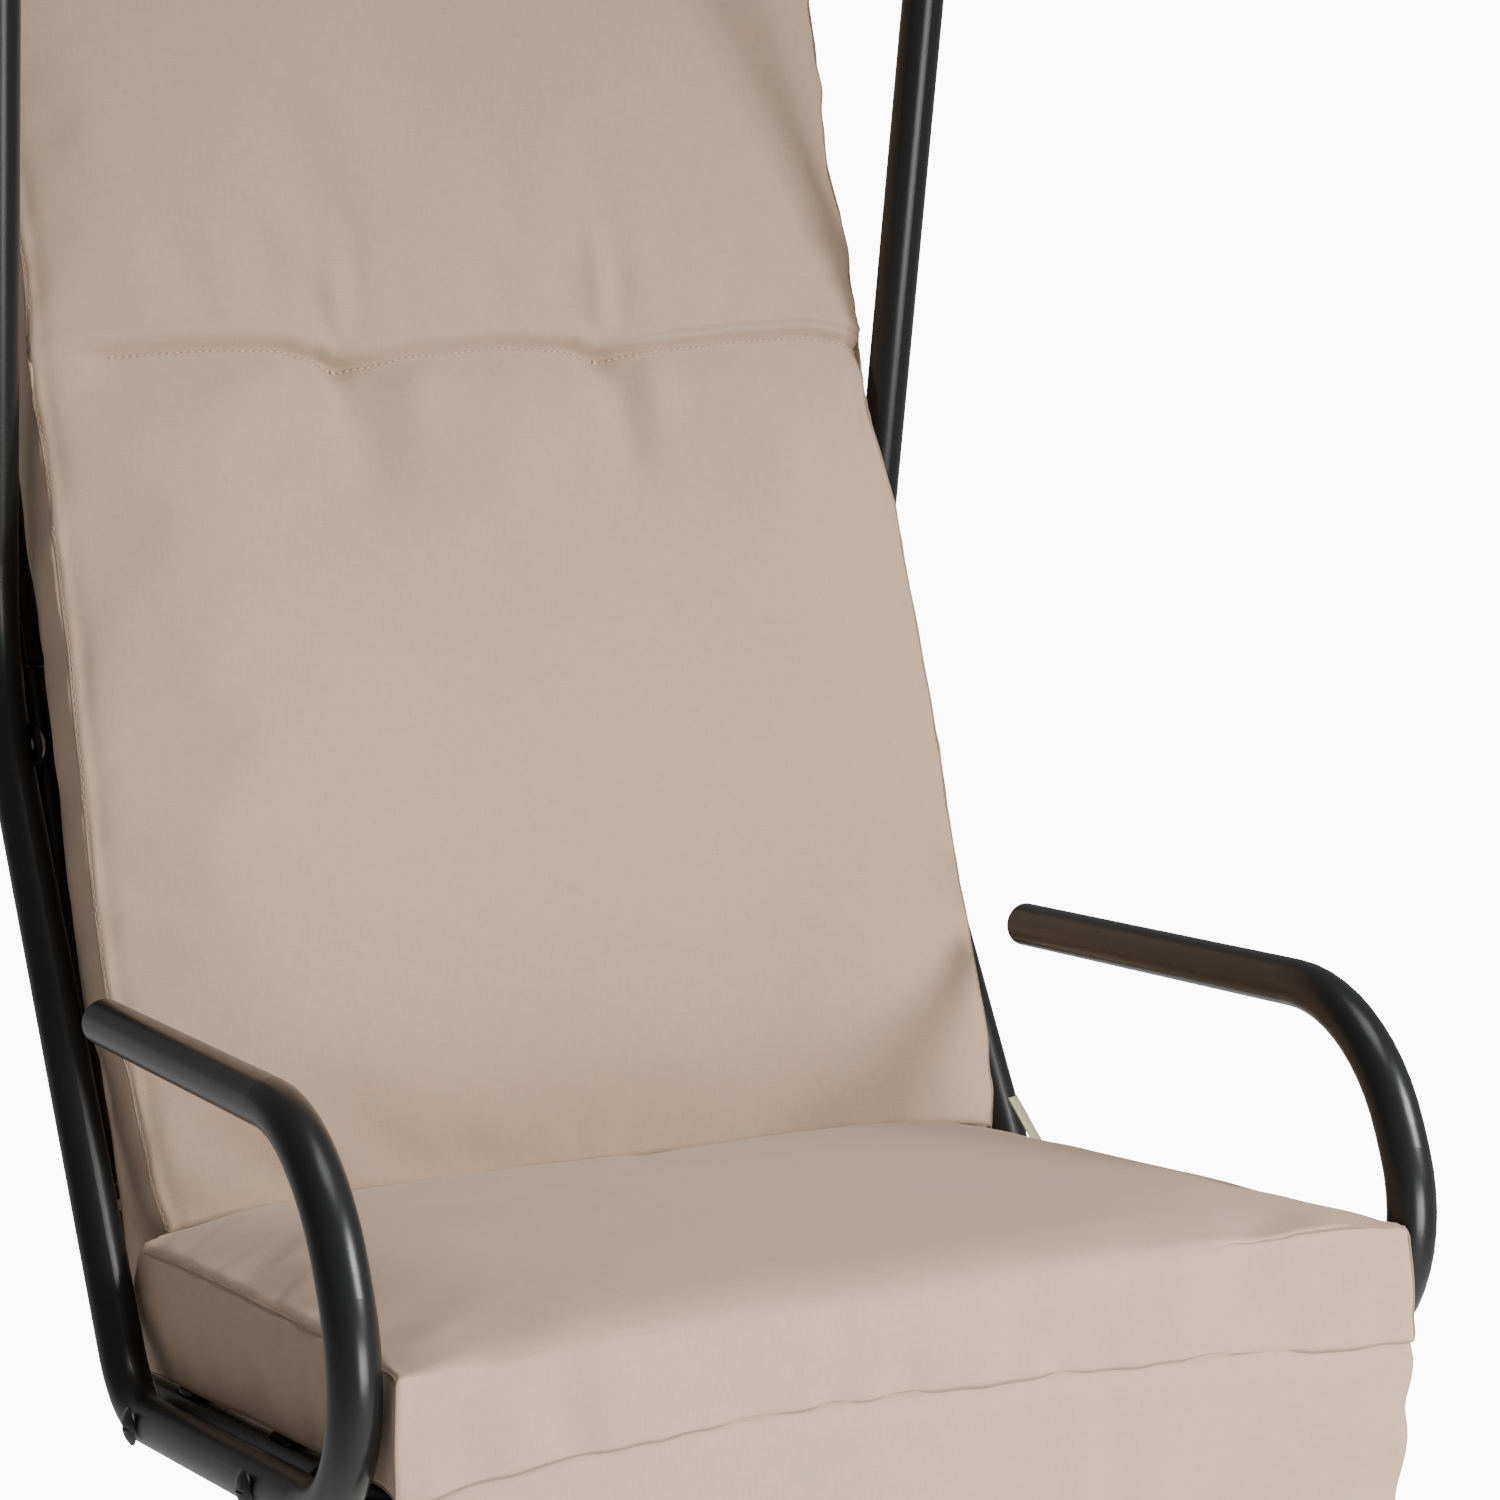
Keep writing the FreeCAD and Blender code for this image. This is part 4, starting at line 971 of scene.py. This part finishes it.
# ties: a narrow ribbon round each inner tube, with a tail forward beside the cushions; a row of the tail is
# its place across, along the back and out from it, and how far the ribbon has turned
ribbon = {"across": 0.2544, "height": 0.096, "ringRadius": 0.0119, "width": 0.0058, "thick": 0.0007,
          "tail": [(0.2632, 0.096, 0.0092, 0.0), (0.2648, 0.090, 0.022, 0.0), (0.26495, 0.074, 0.045, 0.0),
                   (0.26495, 0.056, 0.072, 0.0), (0.2650, 0.042, 0.098, 0.0), (0.2650, 0.034, 0.1210, 0.2),
                   (0.2652, 0.0400, 0.1400, 0.8), (0.2654, 0.0540, 0.1345, 1.0),
                   (0.2656, 0.0640, 0.1275, 1.0), (0.2658, 0.0740, 0.1205, 1.0),
                   (0.2660, 0.0845, 0.1130, 1.0)],
          "leftRows": 4, "curveSteps": 8, "ringSteps": 40, "ringStart": 40, "ringLift": 0.0006,
          "ringRise": 0.002,
          "section": [(-0.5, 0.5), (-0.5, -0.5), (-0.38, -0.85), (-0.30, -0.45), (0.30, -0.45),
                      (0.38, -0.85), (0.5, -0.5), (0.5, 0.5), (0.38, 0.85), (0.30, 0.45), (-0.30, 0.45),
                      (-0.38, 0.85)]}


def ribbonStrip(name, points, across):    # a flat strip with thin selvedges along both edges
    rings = []
    for i, (point, wide) in enumerate(zip(points, across)):
        along = points[min(i + 1, len(points) - 1)] - points[max(i - 1, 0)]
        wide = (wide - along * (wide.dot(along) / along.length_squared)).normalized()
        off = along.cross(wide).normalized()
        rings.append([point + wide * (s * ribbon["width"]) + off * (t * ribbon["thick"])
                      for s, t in ribbon["section"]])
    return loft(name, rings)


def curveThrough(rows):    # points on a smooth curve through the rows
    count = ribbon["curveSteps"]
    points = []
    for i in range(len(rows) - 1):
        before = rows[max(i - 1, 0)]
        start, end = rows[i], rows[i + 1]
        after = rows[min(i + 2, len(rows) - 1)]
        for k in range(count):
            t = k / count
            leave, arrive = (end - before) * 0.5, (after - start) * 0.5
            points.append(start * (2 * t ** 3 - 3 * t * t + 1) + leave * (t ** 3 - 2 * t * t + t)
                          + end * (3 * t * t - 2 * t ** 3) + arrive * (t ** 3 - t * t))
    points.append(rows[-1])
    return points


def makeTie(side, sign):
    r = ribbon
    rows = r["tail"] if sign > 0 else r["tail"][:r["leftRows"]]
    path = curveThrough([onBack(sign * x, along, out) for x, along, out, twist in rows])
    twists = curveThrough([Vector((twist, 0, 0)) for x, along, out, twist in rows])
    across = [backUp.lerp(Vector((sign, 0, 0)) * 0.9 + backFront * 0.4, t.x) for t in twists]
    tail = ribbonStrip("tail", path, across)
    ring = []
    for i in range(r["ringSteps"] + 1):
        share = i / r["ringSteps"]
        angle = math.radians(r["ringStart"] - 360 * share)
        radius = r["ringRadius"] + r["ringLift"] * share
        x = sign * (r["across"] + radius * math.cos(angle))
        ring.append(onBack(x, r["height"] + r["ringRise"] * share, radius * math.sin(angle)))
    loop = ribbonStrip("loop", ring, [backUp] * len(ring))
    piece = joinPieces("tie_ribbon_" + side, [tail, loop])
    finishPiece(piece, "ribbon")
    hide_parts("tie_" + side)


# weld beads where the inner frame's tubes and slats join, and at the hangers' eyes
weld = {"radius": 0.0015, "across": 0.2544, "tube": 0.011, "frontJoint": 0.3532, "topJoint": 0.720,
        "crossPlace": 0.066, "crossRadius": 0.0095, "slatHalf": 0.015, "slatBead": 0.011, "slatGap": 0.0004,
        "slatStep": 0.0012, "eyeRadius": 0.0135, "ringSteps": 44}


def beadRipple(share):
    return 1 + 0.16 * math.sin(share * 150) + 0.08 * math.sin(share * 61 + 1)


def bead(points, radius=weld["radius"], closed=True):
    return strand("bead", points, radius, beadRipple, closed)


def ringRound(centre, axis, radius, count=weld["ringSteps"]):
    first = axis.orthogonal().normalized()
    second = axis.cross(first)
    return [centre + (first * u + second * v) * radius for u, v in circle(count)]


def frameBeads(sign):
    w = weld
    x = sign * w["across"]
    beads = [bead(ringRound(onSeat(x, w["frontJoint"], 0), railBack, w["tube"])),
             bead(ringRound(onBack(x, w["topJoint"], 0), backUp, w["tube"]))]
    saddle = []
    for u, v in circle(w["ringSteps"]):
        rise = w["crossRadius"] * v
        inside = math.sqrt(w["tube"] ** 2 - rise ** 2)
        saddle.append(onSeat(sign * (w["across"] - inside), w["crossPlace"] + w["crossRadius"] * u, rise))
    beads.append(bead(saddle))
    for name in sorted(n for n in nodes if n.startswith(("seat_slat_", "back_slat_"))):
        run, lift = (railBack, railUp) if name.startswith("seat") else (backUp, backFront)
        centre = nodeCentre(name) + lift * (w["slatGap"] - tubes["slatThick"] / 2)
        for way in (-1, 1):
            row = [centre + run * way * (w["slatHalf"] + w["slatGap"])
                   + Vector((x + (t - 0.5) * w["slatBead"], 0, 0)) for t in (0, 0.25, 0.5, 0.75, 1)]
            beads.append(bead(resample(row, w["slatStep"]), w["radius"] * 0.9, False))
    return beads


def eyeBead(sign):
    t = sideTube
    pivot = Vector((sign * t["across"], 0.0, t["corners"][0][1]))
    knee = t["corners"][1]
    down = Vector((0, knee[0], knee[1] - pivot.z)).normalized()
    aside = down.cross(Vector((1, 0, 0)))
    points = []
    for u, v in circle(weld["ringSteps"]):
        along = math.sqrt(weld["eyeRadius"] ** 2 - (t["radius"] * v) ** 2)
        points.append(pivot + down * along + (aside * v + Vector((u, 0, 0))) * t["radius"])
    return bead(points)


def makeWelds():
    beads = frameBeads(-1) + [eyeBead(-1)] + frameBeads(1) + [eyeBead(1)]
    finishPiece(joinPieces("weld_beads", beads), "paint")
    print("weld beads:", len(beads))


# finishes
def addNode(tree, kind, inputs, **options):    # an input takes a value or another node's output
    node = tree.nodes.new("ShaderNode" + kind)
    for label, value in options.items():
        setattr(node, label, value)
    for label, value in inputs.items():
        if isinstance(value, bpy.types.NodeSocket):
            tree.links.new(value, node.inputs[label])
        else:
            node.inputs[label].default_value = value
    return node


def nodeGroup(name, inputs, outputs):    # a place and some numbers go in, masks and heights come out
    tree = bpy.data.node_groups.new(name, "ShaderNodeTree")
    tree.interface.new_socket("Place", in_out="INPUT", socket_type="NodeSocketVector")
    for label, value in inputs.items():
        tree.interface.new_socket(label, in_out="INPUT", socket_type="NodeSocketFloat").default_value = value
    for label in outputs:
        tree.interface.new_socket(label, in_out="OUTPUT", socket_type="NodeSocketFloat")
    return tree, tree.nodes.new("NodeGroupInput").outputs, tree.nodes.new("NodeGroupOutput").inputs


def mathNode(tree, operation, *values, clamp=False):
    values = dict(enumerate(values))
    return addNode(tree, "Math", values, operation=operation, use_clamp=clamp).outputs[0]


def times(tree, first, second):
    return mathNode(tree, "MULTIPLY", first, second)


def scaled(tree, vector, factors):    # a vector with each direction multiplied
    return addNode(tree, "VectorMath", {0: vector, 1: factors}, operation="MULTIPLY").outputs[0]


def noiseNode(tree, vector, scale, detail=3.0, rough=0.5):
    values = {"Vector": vector, "Scale": scale, "Detail": detail, "Roughness": rough}
    return addNode(tree, "TexNoise", values).outputs["Fac"]


def mapRange(tree, value, fromLow, fromHigh, toLow, toHigh):
    values = {"Value": value, "From Min": fromLow, "From Max": fromHigh, "To Min": toLow, "To Max": toHigh}
    return addNode(tree, "MapRange", values).outputs["Result"]


def mixColour(tree, share, first, second):
    node = addNode(tree, "Mix", {}, data_type="RGBA")
    tree.links.new(share, node.inputs["Factor"])
    for label, value in (("A", first), ("B", second)):
        socket = [s for s in node.inputs if s.name == label and s.type == "RGBA"][0]
        if isinstance(value, tuple):
            socket.default_value = value + (1,)
        else:
            tree.links.new(value, socket)
    return [s for s in node.outputs if s.type == "RGBA"][0]


def makeWeaveGroup():    # plain weave: threads both ways with uneven thickness, and their colour
    tree, start, end = nodeGroup("plain_weave", {"Threads": 900.0, "Slub": 0.5}, ("Tone", "Height"))
    place, threads = start["Place"], start["Threads"]
    split = addNode(tree, "SeparateXYZ", {0: place}).outputs
    turns = times(tree, threads, math.pi)
    warp = mathNode(tree, "SINE", times(tree, split["X"], turns))
    weft = mathNode(tree, "SINE", times(tree, split["Y"], turns))
    cross = times(tree, warp, weft)
    slubX = noiseNode(tree, scaled(tree, place, (1.0, 0.085, 1.0)), threads, 2.0)
    slubY = noiseNode(tree, scaled(tree, place, (0.085, 1.0, 1.0)), threads, 2.0)
    slubs = times(tree, mathNode(tree, "ADD", slubX, slubY), 0.5)
    rough = times(tree, slubs, start["Slub"])
    tree.links.new(mathNode(tree, "ADD", times(tree, cross, 0.06), slubs), end["Tone"])
    tree.links.new(mathNode(tree, "ADD", times(tree, cross, 0.3), rough), end["Height"])
    return tree


def makeSkinGroup():    # sprayed skin: a fine peel, slow waves in it and a thin haze of dust
    tree, start, end = nodeGroup("sprayed_skin", {"Peel": 420.0, "Haze": 18.0}, ("Height", "Dust"))
    peel = noiseNode(tree, start["Place"], start["Peel"], 2.0, 0.45)
    slow = noiseNode(tree, start["Place"], start["Haze"], 4.0, 0.6)
    normal = addNode(tree, "NewGeometry", {}).outputs["Normal"]
    upward = addNode(tree, "SeparateXYZ", {0: normal}).outputs["Z"]
    dusty = times(tree, mathNode(tree, "ADD", upward, 0.35, clamp=True), 0.7)
    tree.links.new(mathNode(tree, "ADD", peel, times(tree, slow, 0.6)), end["Height"])
    tree.links.new(times(tree, dusty, slow), end["Dust"])
    return tree


def placeNode(tree, uvName=None):
    if uvName:
        return addNode(tree, "UVMap", {}, uv_map=uvName).outputs["UV"]
    return addNode(tree, "TexCoord", {}).outputs["Object"]


def groupNode(tree, group, place, values):
    return addNode(tree, "Group", {"Place": place, **values}, node_tree=group).outputs


def newFinish(name, values):
    material = bpy.data.materials.new(name)
    material.use_nodes = True
    shader = material.node_tree.nodes["Principled BSDF"]
    for label, value in values.items():
        shader.inputs[label].default_value = value
    return material, material.node_tree, shader


def wireFinish(tree, shader, colour, relief, rough=None):    # relief is a height, its strength and distance
    height, strength, distance = relief
    bump = addNode(tree, "Bump", {"Height": height, "Strength": strength, "Distance": distance})
    tree.links.new(bump.outputs["Normal"], shader.inputs["Normal"])
    tree.links.new(colour, shader.inputs["Base Color"])
    if rough:
        tree.links.new(mapRange(tree, *rough), shader.inputs["Roughness"])


cloth = {"light": (0.532, 0.388, 0.273), "dark": (0.432, 0.304, 0.206), "warm": (0.512, 0.348, 0.236),
         "cool": (0.452, 0.352, 0.252), "threads": 900.0, "slub": 0.55}


def makeCloth(name, weave, uvName="weave", tint=1.0):
    material, tree, shader = newFinish(name, {"Roughness": 0.92, "Sheen Weight": 0.16,
                                              "Sheen Roughness": 0.45, "Specular IOR Level": 0.22})
    values = {"Threads": cloth["threads"], "Slub": cloth["slub"]}
    woven = groupNode(tree, weave, placeNode(tree, uvName), values)
    solid = placeNode(tree)
    light, dark, warm, cool = [tuple(v * tint for v in cloth[k]) for k in ("light", "dark", "warm", "cool")]
    threads = mixColour(tree, mapRange(tree, woven["Tone"], 0.22, 0.78, 0.0, 1.0), dark, light)
    clouds = mapRange(tree, noiseNode(tree, solid, 7.0, 4.0, 0.62), 0.42, 0.66, 0.0, 0.34)
    blots = noiseNode(tree, scaled(tree, solid, (1.0, 1.0, 0.8)), 85.0, 3.0, 0.6)
    patches = mapRange(tree, blots, 0.46, 0.70, 0.0, 0.42)
    colour = mixColour(tree, patches, mixColour(tree, clouds, threads, warm), cool)
    wireFinish(tree, shader, colour, (woven["Height"], 0.35, 0.0002), (woven["Tone"], 0.2, 0.8, 0.96, 0.86))
    return material


def makePaint(name, skin, base, rough, peel):
    material, tree, shader = newFinish(name, {"Coat Weight": 0.12, "Coat Roughness": 0.18,
                                              "Specular IOR Level": 0.30})
    sprayed = groupNode(tree, skin, placeNode(tree), {"Peel": peel})
    dusty = tuple(v * 1.3 + 0.005 for v in base)
    colour = mixColour(tree, mapRange(tree, sprayed["Dust"], 0.1, 0.6, 0.0, 0.35), base, dusty)
    wireFinish(tree, shader, colour, (sprayed["Height"], 0.12, 0.0003),
               (sprayed["Dust"], 0.0, 0.6, rough, rough + 0.10))
    return material


def makeZinc(name, bright, dull, metal=1.0):    # plated steel with fine turning lines and dull spots
    material, tree, shader = newFinish(name, {"Metallic": metal, "Specular IOR Level": 0.5})
    place = placeNode(tree)
    lines = noiseNode(tree, scaled(tree, place, (900.0, 160.0, 160.0)), 1.0, 3.0)
    spots = noiseNode(tree, place, 260.0, 4.0, 0.6)
    colour = mixColour(tree, mapRange(tree, spots, 0.42, 0.62, 0.0, 0.7), bright, dull)
    wireFinish(tree, shader, colour, (lines, 0.15, 0.0002), (spots, 0.3, 0.7, 0.24, 0.46))
    return material


def makePlastic(name, base, rough, grain):
    material, tree, shader = newFinish(name, {"Specular IOR Level": 0.45})
    place = placeNode(tree)
    speckle = noiseNode(tree, place, grain, 2.0)
    lighter = tuple(v * 1.35 + 0.006 for v in base)
    colour = mixColour(tree, noiseNode(tree, place, 30.0, 3.0), base, lighter)
    wireFinish(tree, shader, colour, (speckle, 0.2, 0.00015),
               (speckle, 0.3, 0.7, rough - 0.06, rough + 0.08))
    return material


def makeRibbon(name, weave):
    material, tree, shader = newFinish(name, {"Roughness": 0.75, "Sheen Weight": 0.15})
    woven = groupNode(tree, weave, placeNode(tree), {"Threads": 1500.0, "Slub": 0.3})
    colour = mixColour(tree, woven["Tone"], (0.47, 0.44, 0.27), (0.66, 0.63, 0.45))
    wireFinish(tree, shader, colour, (woven["Height"], 0.3, 0.0002))
    return material


def makeFinishes():
    weave = makeWeaveGroup()
    skin = makeSkinGroup()
    return {"cloth": makeCloth("woven_cloth", weave),
            # the seams' rolled edges: cloth at 0.62 of its lightness, painted shade along the seam grooves
            "seam": makeCloth("seam_edge_painted_shade", weave, None, 0.62),
            "thread": makeCloth("sewing_thread", weave, None, 0.98),
            # the top thread: cloth at 1.45 times its lightness, a painted highlight along the sewn line and
            # on the knots
            "painted_highlight_thread": makeCloth("top_thread_painted_highlight", weave, None, 1.45),
            "paint": makePaint("satin_paint", skin, (0.0100, 0.0103, 0.0105), 0.26, 420.0),
            "zinc": makeZinc("plated_steel", (0.72, 0.72, 0.71), (0.46, 0.46, 0.45)),
            # the back bolt's finish has a pale base and little metal, so the head looks bright in the shade
            # between hanger and cushion: a painted highlight
            "bright": makeZinc("painted_glint_steel", (0.86, 0.86, 0.85), (0.52, 0.52, 0.51), 0.35),
            "dark": makeZinc("blacked_steel", (0.075, 0.075, 0.078), (0.045, 0.045, 0.045)),
            "plug": makePlastic("black_plug", (0.020, 0.020, 0.021), 0.48, 900.0),
            "nylon": makePlastic("pale_nylon", (0.62, 0.60, 0.54), 0.42, 700.0),
            "ribbon": makeRibbon("cream_ribbon", weave)}


def finishFrame():    # each node of the frame by the start of its name, and paint for the rest
    # back_bolt takes the bright finish, whose pale colour is a painted highlight on the bolt head
    starts = {"arm_plug": "plug", "pivot_bolt": "zinc", "pivot_nut": "zinc", "pivot_bushes": "nylon",
              "back_bolt": "bright", "back_nut": "zinc", "rail_bolts": "dark", "rail_nuts": "dark",
              "seat_cushion": "seam", "back_cushion": "seam", "cushion_skirt": "seam", "tie": "ribbon"}
    for name, piece in nodes.items():
        chosen = [finish for start, finish in starts.items() if name.startswith(start)] or ["paint"]
        material = finishes[chosen[-1]]
        for slot in piece.material_slots:
            slot.material = material
        if not piece.material_slots:
            piece.data.materials.append(material)


finishes = makeFinishes()
finishFrame()
makeCamera()
makeStudio()
print("studio and finishes ready")
makeSeatCushion()
backPiece, backLines = makeBackCushion()
makeSkirt()
for side, sign in (("left", -1), ("right", 1)):
    makeTie(side, sign)
print("ties tied")
makeWelds()
makeStitches("back_stitches", backPiece, [inward(backLines[0], thread["inset"]),
                                          inward(backLines[1], -thread["inset"])])
makeSewnLine(backPiece)
print("stitches and sewn line laid")
